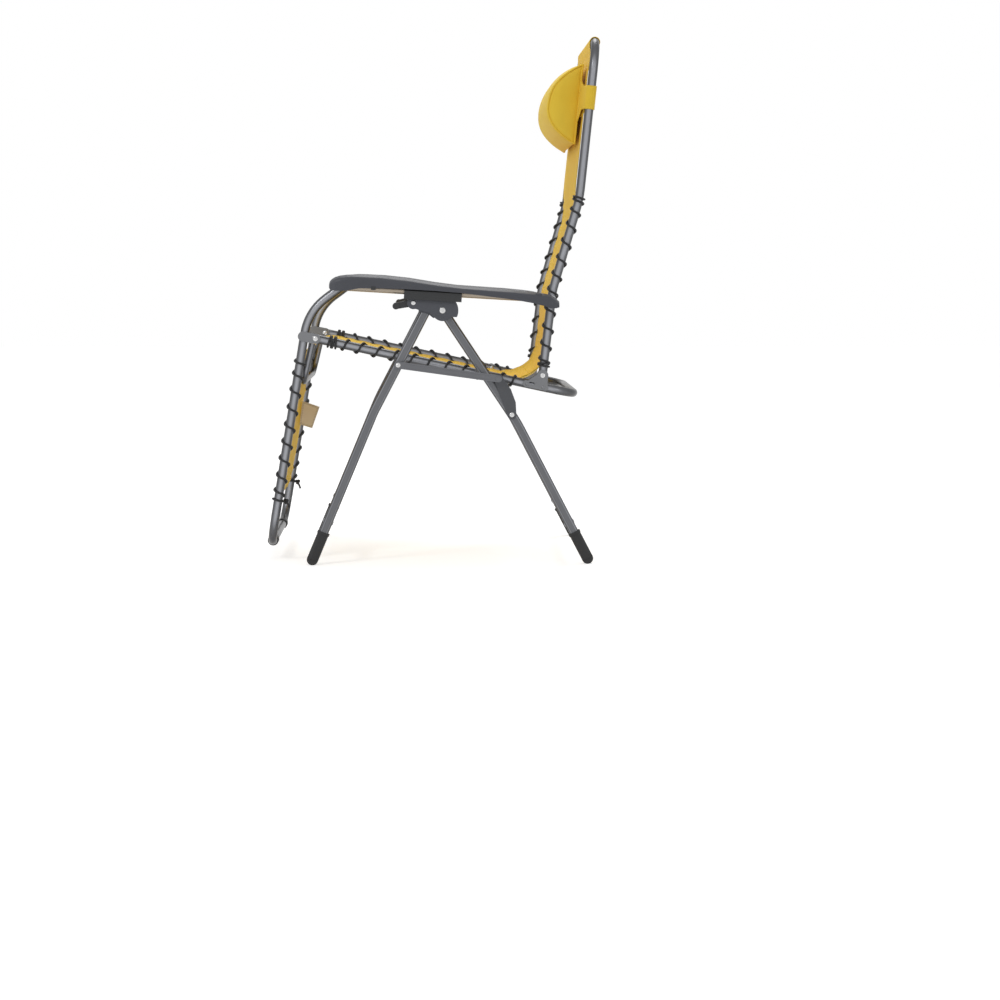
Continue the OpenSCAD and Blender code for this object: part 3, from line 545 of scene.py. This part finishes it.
def clothSheet(name, spine, face, half, depth, wave, material, centre=0.0):
    # rows cross the chair along a side-view spine; each point is moved away from the sitter by
    # depth (1 - u^2)^0.9 and by a ripple wave exp(-rim / reach) near the edges, where u runs from
    # -1 to 1 across and rim is the distance to the edge; centre raises or sinks a seam down the middle
    s = spine[0]
    point, _, left = onPath(spine, s)
    u = spread[None]
    y = half[:, None] * u
    rim = half[:, None] - abs(y)
    out = -depth[:, None] * (1 - u ** 2) ** 0.9 - wave[:, None] * np.exp(-rim / sling["reach"])
    out = out + centre * np.exp(-(y / sling["seam"]) ** 2)
    place = point[:, None] + face * left[:, None] * out[..., None]
    points = np.stack([place[..., 0], y, place[..., 1]], -1).reshape(-1, 3)
    middle = place[:, len(spread) // 2]
    run = np.r_[0, np.cumsum(np.linalg.norm(np.diff(middle, axis=0), axis=1))]
    uv = np.stack([y, np.broadcast_to(run[:, None], y.shape)], -1).reshape(-1, 2)
    faces = gridFaces(len(s), len(spread))
    piece = makePiece(name, points, faces if face > 0 else faces[:, ::-1], material, uv,
                      {"rim": rim.ravel(), "seam": abs(y).ravel()})
    wall = piece.modifiers.new("wall", "SOLIDIFY")
    wall.thickness, wall.offset = sling["thick"], 0
    return piece, 2 * half.max(), run[-1], float(areaUnder(2 * half, run))


def declare(piece, body, node, ends=None):
    # rides on its body, or, when given ends, keeps its place with its transform baked in; and hides the CAD
    # panel that it stands for
    if ends:
        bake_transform(piece)
    else:
        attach(piece, body)
    if node:
        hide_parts(node)


# Side-view lines that the fabric follows where it leaves the tubes
clothLines = {
    "seat": [(-0.2118, 0.4733), (0.1589, 0.3945), (0.178, 0.3957), (0.195, 0.3990), (0.213, 0.4055)],
    "back": [(0.213, 0.4055), (0.2245, 0.4150), (0.2330, 0.4275), (0.2395, 0.4420), (0.2452, 0.470),
             (0.258, 0.583), (0.306, 0.749), (0.3087, 0.8158), (0.3326, 1.047)],
    "knee": [(-0.2118, 0.4733), (-0.230, 0.4762), (-0.2475, 0.4740), (-0.2615, 0.4655), (-0.2705, 0.4535)],
    "riser": [(-0.2705, 0.4535), (-0.2758, 0.4445), (-0.2805, 0.429), (-0.2846, 0.412), (-0.2885, 0.391),
              (-0.2983, 0.330), (-0.3293, 0.1418)],
}


def spineOf(key, reach=8):
    return pathOf(clothLines[key], sling["step"], reach)


def splitSpine(first, second, reach=8):
    # both lines smoothed as one and cut apart again where they join, so that they meet without a kink
    s, line = pathOf(clothLines[first] + clothLines[second][1:], sling["step"], reach)
    length = np.hypot(*np.diff(np.array(clothLines[first]), axis=0).T).sum()
    cut = int(round(length / (s[1] - s[0])))
    # the first runs one step on, so no slit opens between them
    return (s[:cut + 2], line[:cut + 2]), (s[cut:] - s[cut], line[cut:])


def areaUnder(y, x):
    # sum of the trapezia between neighbouring points
    return np.sum((y[1:] + y[:-1]) / 2 * np.diff(x))


# Seat fabric, from the knee to where it rises towards the back
spine, backLine = splitSpine("seat", "back")
s = nearest("seat", spine[1])
f = spine[0] / spine[0][-1]
depth = 0.004 + 0.005 * ease(f, 0.06, 0.45) + 0.0035 * ease(f, 0.75, 1)   # shallow near the folding knee bar
half = np.minimum(edgeOf("seat", s), sling["unlaced"] + 0.02 * ease(s, 0.040, 0.062))
seatSling, *size = clothSheet("seatSling", spine, 1, half, depth, sling["ripple"] * laceWave("seat", s),
                              materials["slingFabric"])
declare(seatSling, "seat", "seat_sling",
        ("seat", "back_pins", (0.170, 0, 0.3940), (0.2125, 0, 0.4053)))

# Back fabric, up to the top bar and round it
topBar = {"place": (0.3495, 1.1137), "tube": 0.0095, "gap": 0.0012, "lap": 0.030, "step": 0.0012,
          "flat": 0.183, "corner": 0.0485, "deep": 0.046, "inset": 0.006}


def backSpine(line):
    # up the back, forward to the sitter's side of the top bar, over it, and down behind to meet itself
    t = topBar
    r = t["tube"] + t["gap"]
    way = unit(np.array([0.0285, 0.276]))
    out = np.array([-way[1], way[0]])
    a = np.linspace(-0.15, pi + 0.55, 26)
    arc = np.array(t["place"]) + r * (np.cos(a)[:, None] * out + np.sin(a)[:, None] * way)
    meet = np.array(t["place"]) - way * 0.026 + out * (r - 0.0062)
    tail = meet - way * t["lap"]
    over = np.array(t["place"]) - way * 0.030 + out * (r - 0.0030)
    line1 = pathOf(np.r_[line, [over]], sling["step"], 4)[1]
    line2 = pathOf(np.r_[line1[-1:], arc], t["step"], 2)[1]
    line3 = pathOf(np.r_[line2[-1:], [meet, tail]], t["step"], 3)[1]
    line = np.r_[line1, line2[1:], line3[1:]]
    return np.r_[0, np.cumsum(np.hypot(*np.diff(line, axis=0).T))], line, len(line1)


at, line, bend = backSpine(backLine[1])
s = nearest("back", line)
run = at.copy()
inward = np.clip(run - run[bend - 1] + topBar["lap"], 0, topBar["deep"])
rounded = topBar["flat"] + np.sqrt(topBar["corner"] ** 2 - inward ** 2) - topBar["inset"]
half = np.minimum(edgeOf("back", s) + 0.011 * ease(run, 0.405, 0.45), rounded)
depth = 0.0125 - 0.0105 * ease(run, 0.03, 0.14) - 0.002 * ease(run, 0.4, 0.5)
backSling, *size = clothSheet("backSling", (at, line), 1, half, depth, sling["ripple"] * laceWave("back", s),
                              materials["slingFabric"])
declare(backSling, "back", "back_sling",
        ("back_pins", "back", (0.2135, 0, 0.4060), (0.2425, 0, 0.4410)))

# Fabric over the knee
spine = spineOf("knee", 5)
s = spine[0]
half = np.full(len(s), sling["unlaced"])
kneeSling, *size = clothSheet("kneeSling", spine, -1, half, 0.004 - 0.001 * s / s[-1], 0 * s,
                              materials["slingFabric"])
declare(kneeSling, "seat", None,
        ("seat", "footrest_pins", (-0.222, 0, 0.4755), (-0.264, 0, 0.4625)))

# Footrest fabric, with a seam down its middle
spine = spineOf("riser")
s = nearest("riser", spine[1])
depth = 0.003 * (1 - ease(s, 0.19, 0.235)) + 0.0085 * np.sin(pi * np.clip((s - 0.262) / 0.262, 0, 1)) ** 0.8
half = np.minimum(edgeOf("riser", s), sling["unlaced"] + 0.01 * ease(s, 0.185, 0.200))
footSling, *size = clothSheet("footrestSling", spine, -1, half, depth, sling["ripple"] * laceWave("riser", s),
                              materials["slingFabric"], centre=-0.0012)
declare(footSling, "footrest", "footrest_sling",
        ("footrest_pins", "footrest", (-0.2708, 0, 0.4530), (-0.2846, 0, 0.4120)))
print("slings made")

# Elastic lacing
cord = {"radius": 0.0023, "sides": 10, "perTurn": 36, "clear": 0.0001, "lean": 0.55,
        "knotOut": 0.0165}


def lacingPath(name, forward=1):
    # a helix round the side tube drawn out to the fabric's eyelets: polar radius is the tube's for most
    # of a turn and follows the two tangents to the eyelet for the rest; s goes from eyelet to eyelet
    # with each turn as t + lean sin(2 pi t) / 2 pi, so the cord crosses the tube nearly square
    e = eyeletsOf(name)
    if forward < 0:
        e = e[::-1]
    turns = np.arange(0, (len(e) - 1) * cord["perTurn"] + 1) / cord["perTurn"]
    a = (turns % 1) * 2 * pi
    s = np.interp(turns + cord["lean"] * np.sin(a) / (2 * pi), np.arange(len(e)), e)
    near = np.minimum(a, 2 * pi - a)
    r = tube["radius"] + cord["radius"] + cord["clear"]
    opening = np.arccos(r / (tube["side"] - holeAt(name, s)))
    rho = np.where(near < opening, r / np.cos(np.clip(opening - near, 0, opening)), r)
    point, ahead, left = onPath(paths[name], s)
    inner, sitter = rho * np.cos(a), -rho * np.sin(a) * (1 if name != "riser" else -1)
    path = np.stack([point[:, 0] + left[:, 0] * sitter, tube["side"] - inner,
                     point[:, 1] + left[:, 1] * sitter], -1)
    kernel = np.array([1, 2, 1]) / 4
    path[1:-1] = np.stack([np.convolve(path[:, k], kernel, "valid") for k in range(3)], -1)
    hint = np.stack([ahead[:, 0], 0 * s, ahead[:, 1]], -1)
    return path, hint


def knot(at, size=0.0044):
    # overhand knot: a trefoil, (sin t + 2 sin 2t, cos t - 2 cos 2t, -sin 3t), lying along the tube
    t = np.linspace(0, 2 * pi, 60, endpoint=False)
    p = np.stack([np.sin(t) + 2 * np.sin(2 * t), -np.sin(3 * t), np.cos(t) - 2 * np.cos(2 * t)], -1)
    return np.asarray(at) + p * size / 3, np.broadcast_to([0.0, 1.0, 0.0], p.shape)


def tailPath(at, way, length=0.014):
    # a free end: straight out along way, drooping as the square of the distance
    t = np.linspace(0, 1, 9)[:, None]
    path = np.asarray(at) + t * np.asarray(way) * length + np.array([0, 0, -0.35]) * length * t ** 2
    return path, np.broadcast_to([0.0, 1.0, 0.0], path.shape)


def cordMesh(name, runs, material):
    # several swept cords, each on both sides of the chair, as one piece
    points, quads, caps, uvs, base = [], [], [], [], 0
    for path, hint, closed in runs:
        for side in (1, -1):
            flip = np.array([1, side, 1])
            p, q = carry(path * flip, hint * flip, ring(cord["radius"], cord["sides"]), closed)
            run = np.r_[0, np.cumsum(np.linalg.norm(np.diff(path, axis=0), axis=1))]
            uvs.append(np.stack([np.tile(np.arange(cord["sides"]) / cord["sides"], len(path)),
                                 np.repeat(run, cord["sides"])], -1))
            points.append(p)
            quads.append(q + base)
            if not closed:
                caps += [c + base for c in endCaps(len(path), cord["sides"])]
            base += len(p)
    return makePiece(name, np.concatenate(points), quads + caps, material, np.concatenate(uvs))


def ringPath(name, s, tilt=0.0):
    # one closed turn of cord round the tube at distance s, leaning by tilt metres along it
    a = np.linspace(0, 2 * pi, 32, endpoint=False)
    point, ahead, left = onPath(paths[name], s + tilt * np.sin(a))
    r = tube["radius"] + cord["radius"] + cord["clear"]
    path = np.stack([point[:, 0] + left[:, 0] * r * np.sin(a), tube["side"] - r * np.cos(a),
                     point[:, 1] + left[:, 1] * r * np.sin(a)], -1)
    return path, np.stack([ahead[:, 0], 0 * a, ahead[:, 1]], -1), True


def lacing(piece, name, body, node, forward, rings, knots):
    # the helix, tight rings at its ends, and a knot with a short tail at each place in knots: its
    # distance along the tube and 1 on the sitter's side or -1 behind
    path, hint = lacingPath(name, forward)
    runs = [(path, hint, False)]
    for n, s in enumerate(rings):
        runs.append(ringPath(name, s, 0.0012 * (-1) ** n))
    turned = -1 if name == "riser" else 1
    for s, face in knots:
        point, ahead, left = onPath(paths[name], np.array([s]))
        out = left[0] * face * turned
        at = point[0] + out * cord["knotOut"]
        at = np.array([at[0], tube["side"] - 0.006, at[1]])
        way = (ahead[0] + out) * 0.6
        p, h = knot(at)
        runs.append((p, h, True))
        p, h = tailPath(at + [0, -0.004, 0], [way[0], -0.5, way[1]])
        runs.append((p, h, False))
    made = cordMesh(piece, runs, materials["elasticCord"])
    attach(made, body)
    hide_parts(node)


lacing("backLacing", "back", "back", "back_lacing", 1, [0.0300, 0.0352, 0.3965], [])
lacing("seatLacing", "seat", "seat", "seat_lacing", 1, [0.0385, 0.0433, 0.0481, 0.0529], [])
lacing("footrestLacing", "riser", "footrest", "footrest_lacing", -1, [0.5080], [(0.5085, -1)])


def eyelets(piece, name, body, out=0.0008):
    # flat rings pressed into the fabric: a flattened round section turned about each hole
    e = eyeletsOf(name)[1:-1]
    a = np.linspace(0, 2 * pi, 16, endpoint=False)
    b = np.linspace(0, 2 * pi, 8, endpoint=False)
    point, ahead, left = onPath(paths[name], e)
    face = -1 if name == "riser" else 1
    r = 0.0048 + 0.0015 * np.cos(b)[None]
    h = 0.0014 * np.sin(b)[None] + 0 * a[:, None]
    alongTube, across = r * np.cos(a)[:, None], r * np.sin(a)[:, None]
    points, faces, base = [], [], 0
    grid = gridFaces(16, 8, True, True)
    for k in range(len(e)):
        for side in (1, -1):
            x = point[k, 0] + ahead[k, 0] * alongTube + face * left[k, 0] * (h - out)
            z = point[k, 1] + ahead[k, 1] * alongTube + face * left[k, 1] * (h - out)
            y = side * (holeAt(name, e[k]) - 0.0005 - across)
            points.append(np.stack([x, y, z], -1).reshape(-1, 3))
            faces.append((grid if side * face > 0 else grid[:, ::-1]) + base)
            base += 16 * 8
    made = makePiece(piece, np.concatenate(points), np.concatenate(faces), materials["blackPlastic"])
    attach(made, body)


eyelets("backEyelets", "back", "back")
eyelets("seatEyelets", "seat", "seat")
eyelets("footrestEyelets", "riser", "footrest")
print("lacing made")

# Headrest pillow
pillow = {"along": 0.597, "off": 0.0175, "thick": 0.068, "tall": 0.176, "wide": 0.372, "bulge": 0.006,
          "power": 2.5, "skew": 0.10, "voxel": 0.0048, "pressure": 30.0, "cap": 0.012,
          "frames": 20, "rounds": 6, "seam": 0.009, "soft": 0.012, "unroll": 0.07}


def pillowPlace(y, out, rise):
    # from the pillow's own measures to the chair: out towards the sitter, rise up along the back
    point, ahead, left = onPath(paths["back"], np.array([pillow["along"]]))
    x = point[0, 0] + left[0, 0] * out + ahead[0, 0] * rise
    z = point[0, 1] + left[0, 1] * out + ahead[0, 1] * rise
    return np.stack(np.broadcast_arrays(x, y, z), -1)


def pillowFront(r, fuller=0.0):
    # out = thick (1 - |r|^power) (1 - skew r), where r runs from -1 at the bottom corner to 1 at the top
    # one; fuller raises the power and the thickness
    swell = 1 - abs(r) ** (pillow["power"] + fuller * 60)
    return (pillow["thick"] + fuller) * swell * (1 - pillow["skew"] * r)


def pillowOutline(count=96, fuller=0.0):
    # a D: flat behind, swelling in front
    r = np.sin(np.linspace(-pi / 2, pi / 2, count * 2 // 3))
    front = np.stack([pillowFront(r, fuller), r], -1)
    back = np.stack([np.zeros(count // 3), np.linspace(1, -1, count // 3 + 2)[1:-1]], -1)
    return np.r_[front, back]


def pillowBody():
    # D rings carried across the chair, a little fuller in the middle, with flat end panels
    y = np.sin(np.linspace(-1, 1, 49) * pi / 2) * pillow["wide"] / 2
    rings = [pillowOutline(96, pillow["bulge"] * (1 - (abs(v) / (pillow["wide"] / 2)) ** 4)) for v in y]
    d = np.array(rings)
    points = pillowPlace(y[:, None], pillow["off"] + d[..., 0], d[..., 1] * pillow["tall"] / 2)
    return points.reshape(-1, 3), [gridFaces(49, 96, False, True)] + endCaps(49, 96)


def inflate(piece, s):
    # remesh, let cloth swell under pressure with the seams held, cap each move, then smooth once
    bpy.context.view_layer.objects.active = piece
    shell = piece.modifiers.new("shell", "REMESH")
    shell.mode, shell.voxel_size, shell.use_smooth_shade = "VOXEL", s["voxel"], True
    bpy.ops.object.modifier_apply(modifier="shell")
    mesh = piece.data
    rest = np.empty(len(mesh.vertices) * 3)
    mesh.vertices.foreach_get("co", rest)
    rest = rest.reshape(-1, 3)
    point, ahead, left = onPath(paths["back"], np.array([s["along"]]))
    flat = rest[:, [0, 2]] - point[0]
    out, rise = flat @ left[0] - s["off"], flat @ ahead[0]
    end = s["wide"] / 2 - abs(rest[:, 1])
    # how near a point is to a seam: the outline of either end panel, or the two long corners behind
    edge = np.clip(1 - np.maximum(end, 0) / s["seam"], 0, 1)
    rim = pillowFront(np.clip(2 * rise / s["tall"], -1, 1)) - out
    outline = edge * np.clip(1 - abs(rim) / s["seam"], 0, 1)
    corner = np.clip(1 - np.hypot(abs(rise) - s["tall"] / 2, out) / s["soft"], 0, 1)
    behind = np.clip(1 - out / 0.006, 0, 1) * 0.9
    hold = np.clip(np.maximum(np.maximum(outline * 1.6, corner * 0.4), behind * (1 - corner)), 0, 1)
    group = piece.vertex_groups.new(name="held")
    for level in range(1, 6):
        picked = np.nonzero((hold * 5).round() == level)[0].tolist()
        if picked:
            group.add(picked, level / 5, "REPLACE")
    cloth = piece.modifiers.new("cloth", "CLOTH")
    c = cloth.settings
    c.quality, c.mass = 6, 0.3
    c.tension_stiffness = c.compression_stiffness = 12
    c.shear_stiffness, c.bending_stiffness = 6, 0.4
    c.use_pressure, c.uniform_pressure_force = True, s["pressure"]
    c.vertex_group_mass = "held"
    c.effector_weights.gravity = 0
    cloth.point_cache.frame_start, cloth.point_cache.frame_end = 1, s["frames"]
    scene = bpy.context.scene
    for frameNumber in range(1, s["frames"] + 1):
        scene.frame_set(frameNumber)
    solved = piece.evaluated_get(bpy.context.evaluated_depsgraph_get()).to_mesh()
    moved = np.empty(len(rest) * 3)
    solved.vertices.foreach_get("co", moved)
    shift = moved.reshape(-1, 3) - rest
    size = np.linalg.norm(shift, axis=1, keepdims=True)
    shift = shift * np.minimum(1, s["cap"] / np.maximum(size, 1e-9))
    piece.modifiers.remove(cloth)
    piece.vertex_groups.clear()
    # rounds of averaging over each point's edges take the voxel steps out: half way to the mean each time
    pairs = np.empty(len(mesh.edges) * 2, np.int32)
    mesh.edges.foreach_get("vertices", pairs)
    a, b = pairs.reshape(-1, 2).T
    count = np.bincount(np.r_[a, b], minlength=len(rest))[:, None]
    final = rest + shift
    for _ in range(s["rounds"]):
        total = [np.bincount(np.r_[a, b], np.r_[final[b, k], final[a, k]], len(rest)) for k in range(3)]
        final = final + (np.stack(total, -1) / count - final) * 0.5
    mesh.vertices.foreach_set("co", final.astype(np.float32).ravel())
    mesh.update()
    scene.frame_set(1)
    finer = piece.modifiers.new("finer", "SUBSURF")
    finer.levels = finer.render_levels = 1
    bpy.ops.object.modifier_apply(modifier="finer")
    mesh.polygons.foreach_set("use_smooth", np.full(len(piece.data.polygons), True))
    print("pillow: swelled by", round(float(size.mean()) * 1000, 1), "mm on average")


def pillowUv(mesh, s):
    # end panels lie flat, out against rise; the rest is unrolled: y against the mean radius times the
    # angle about a point on the flat side
    spots, normals = np.empty(len(mesh.vertices) * 3), np.empty(len(mesh.polygons) * 3)
    corners, sizes = np.empty(len(mesh.loops), np.int32), np.empty(len(mesh.polygons), np.int32)
    mesh.vertices.foreach_get("co", spots)
    mesh.polygons.foreach_get("normal", normals)
    mesh.loops.foreach_get("vertex_index", corners)
    mesh.polygons.foreach_get("loop_total", sizes)
    spots = spots.reshape(-1, 3)[corners]
    point, ahead, left = onPath(paths["back"], np.array([s["along"]]))
    flat = spots[:, [0, 2]] - point[0]
    out, rise = flat @ left[0] - s["off"], flat @ ahead[0]
    unrolled = np.stack([spots[:, 1], s["unroll"] * np.arctan2(rise, out + 0.01)], -1)
    sideways = abs(normals.reshape(-1, 3)[:, 1])
    end = np.repeat(sideways > 0.75, sizes)[:, None]
    uv = np.where(end, np.stack([out, rise], -1), unrolled)
    layer = mesh.uv_layers.get("UVMap") or mesh.uv_layers.new(name="UVMap")
    layer.data.foreach_set("uv", uv.astype(np.float32).ravel())


points, faces = pillowBody()
pillowPiece = makePiece("headrestPillow", points, faces, materials["pillowFabric"])
inflate(pillowPiece, pillow)
pillowUv(pillowPiece.data, pillow)
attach(pillowPiece, "headrest")
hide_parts("headrest_pillow")


def piping():
    # a thin sewn edge round each end panel, swept along the D
    d = pillowOutline(96)
    count, radius = 8, 0.0020
    points, faces, uvs, base = [], [], [], 0
    for side in (1, -1):
        path = pillowPlace(side * (pillow["wide"] / 2 - 0.0028), pillow["off"] + 0.0022 + d[:, 0] * 0.955,
                           d[:, 1] * pillow["tall"] / 2 * 0.965)
        p, q = carry(path, np.broadcast_to([0.0, 1.0, 0.0], path.shape), ring(radius, count), True)
        points.append(p)
        faces.append(q + base)
        uvs.append(np.stack([np.tile(np.arange(count) * 0.00125, len(path)),
                             np.repeat(np.arange(len(path)) * 0.0035, count)], -1))
        base += len(p)
    made = makePiece("pillowPiping", np.concatenate(points), np.concatenate(faces), materials["pillowFabric"],
                     np.concatenate(uvs))
    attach(made, "headrest")


piping()

strap = {"rise": 0.012, "tall": 0.050, "flare": 0.088, "thick": 0.0012}


def strapSheet():
    # a band in plan: from the pillow's end panel straight to the tube, once round the outside of it, and
    # back to the pillow; its height eases from the flare at the pillow to the band's own at the tube
    r = tube["radius"] + 0.0014
    fromY, fromOut = pillow["wide"] / 2 - 0.001, pillow["off"] + 0.002
    backOut = pillow["off"] - 0.0020
    centre = np.array([tube["side"], 0.0])

    def tangent(p, sign):
        # touching point on the circle of radius r seen from p
        v = p - centre
        d = np.hypot(*v)
        base, opening = np.arctan2(v[1], v[0]), np.arccos(r / d)
        return base + sign * opening

    a0 = tangent(np.array([fromY, fromOut]), -1)
    a1 = tangent(np.array([fromY + 0.006, backOut]), 1)
    a = np.linspace(a0, a1 - 2 * pi, 40)
    arc = centre + r * np.stack([np.cos(a), np.sin(a)], -1)
    t = np.linspace(0, 1, 22)[:, None]
    start = np.array([fromY, fromOut]) * (1 - t) + arc[0] * t
    end = arc[-1] * (1 - t) + np.array([fromY + 0.003, backOut]) * t
    plan = np.r_[start[:-1], arc, end[1:]]
    run = np.r_[0, np.cumsum(np.hypot(*np.diff(plan, axis=0).T))]
    flare = np.maximum(1 - ease(run, 0, 0.034), 0.55 * ease(run, run[-1] - 0.03, run[-1]))
    high = strap["tall"] + (strap["flare"] - strap["tall"]) * flare
    v = np.linspace(-0.5, 0.5, 15)
    rise = strap["rise"] * (1 - flare * 0.6)[:, None] + high[:, None] * v[None]
    pucker = 0.0010 * np.sin(v[None] * 34) * np.exp(-run[:, None] / 0.016)
    points, faces, uvs, base = [], [], [], 0
    for side in (1, -1):
        points.append(pillowPlace(side * plan[:, :1] + 0 * rise, plan[:, 1:] + pucker, rise).reshape(-1, 3))
        grid = gridFaces(len(plan), 15)
        faces.append((grid if side > 0 else grid[:, ::-1]) + base)
        uvs.append(np.stack([rise, run[:, None] + 0 * rise], -1).reshape(-1, 2))
        base += points[-1].shape[0]
    made = makePiece("headrestStraps", np.concatenate(points), np.concatenate(faces), materials["strapWebbing"],
                     np.concatenate(uvs))
    wall = made.modifiers.new("wall", "SOLIDIFY")
    wall.thickness, wall.offset = strap["thick"], 0
    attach(made, "headrest")
    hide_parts("headrest_straps")


strapSheet()
print("headrest made")

# Cloth tab in the footrest's middle seam, corners in side view: both top ones, then both bottom ones
tab = {"corners": [(-0.2896, 0.3345), (-0.2510, 0.3214), (-0.2966, 0.2819), (-0.2681, 0.2733)], "curl": 0.005,
       "thick": 0.0007}


def tabSheet():
    # bilinear between the corners, leaning to one side by curl u^2 and waving a little down its height
    u, v = np.meshgrid(np.linspace(0, 1, 21), np.linspace(0, 1, 25))
    c = np.array(tab["corners"])
    side = ((1 - v)[..., None] * ((1 - u)[..., None] * c[0] + u[..., None] * c[1])
            + v[..., None] * ((1 - u)[..., None] * c[2] + u[..., None] * c[3]))
    lean = tab["curl"] * u ** 2 * (1 - 0.5 * v) + 0.0012 * np.sin(2 * pi * v) * u
    points = np.stack([side[..., 0], -lean, side[..., 1]], -1).reshape(-1, 3)
    uv = np.stack([u * 0.040, v * 0.053], -1).reshape(-1, 2)
    rim = np.minimum(np.minimum(u, 1 - u) * 0.040, np.minimum(v, 1 - v) * 0.053)
    made = makePiece("clothTab", points, gridFaces(25, 21), materials["tabCloth"], uv,
                     {"rim": rim.ravel(), "seam": np.ones(u.size)})
    wall = made.modifiers.new("wall", "SOLIDIFY")
    wall.thickness, wall.offset = tab["thick"], 0
    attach(made, "footrest")
    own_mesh(made)
    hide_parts("label_tab")


tabSheet()
print("tab made")

# Floor and light
studio = {"floor": (0.80, 0.80, 0.80), "glow": 0.56, "world": 0.55, "key": 90, "fill": 72, "rim": 36}


def seenRays(tree):
    # 1 for what the camera sees, directly or through gloss or glass
    ray = tree.nodes.new("ShaderNodeLightPath").outputs
    return mathNode(tree, "MAXIMUM", ray["Is Camera Ray"],
                    mathNode(tree, "MAXIMUM", ray["Is Glossy Ray"], ray["Is Transmission Ray"]))


def makeFloor():
    m, tree, shader, where = startMaterial("paleFloor")
    tone = mixNode(tree, noiseNode(tree, where, 3), tuple(c * 0.99 for c in studio["floor"]) + (1,),
                   studio["floor"] + (1,))
    join(tree, tone, shader.inputs["Base Color"])
    shader.inputs["Roughness"].default_value = 0.9
    shader.inputs["Specular IOR Level"].default_value = 0.1
    shader.inputs["Emission Color"].default_value = (1, 1, 1, 1)
    join(tree, mathNode(tree, "MULTIPLY", seenRays(tree), studio["glow"]), shader.inputs["Emission Strength"])
    x, y = np.meshgrid(np.linspace(-14, 14, 9), np.linspace(-14, 14, 9))
    floor = makePiece("floor", np.stack([x, y, 0 * x], -1).reshape(-1, 3), gridFaces(9, 9), m)


def lamp(name, place, aim, size, power):
    data = bpy.data.lights.new(name, "AREA")
    data.energy, data.size = power, size
    light = bpy.data.objects.new(name, data)
    bpy.context.scene.collection.objects.link(light)
    way = np.subtract(aim, place)
    light.location = place
    turn = pi - np.arctan2(way[0], -way[1])
    light.rotation_euler = (np.arccos(-way[2] / np.linalg.norm(way)), 0, turn)


def makeWorld():
    world = bpy.data.worlds.new("studio")
    bpy.context.scene.world = world
    world.use_nodes = True
    tree = world.node_tree
    back = tree.nodes["Background"]
    back.inputs[0].default_value = (1, 1, 1, 1)
    lift = mathNode(tree, "MULTIPLY_ADD", seenRays(tree), 1 - studio["world"])
    lift.node.inputs[2].default_value = studio["world"]
    join(tree, lift, back.inputs[1])


makeFloor()
makeWorld()
lamp("keyLight", (-2.4, -3.0, 2.8), (0, 0, 0.5), 1.1, studio["key"])
lamp("fillLight", (3.0, -3.2, 1.4), (0, 0, 0.6), 1.6, studio["fill"])
lamp("topLight", (0.4, 1.6, 3.4), (0, 0, 0.5), 1.4, studio["rim"])
bpy.context.scene.view_settings.view_transform = "Standard"
print("studio made")
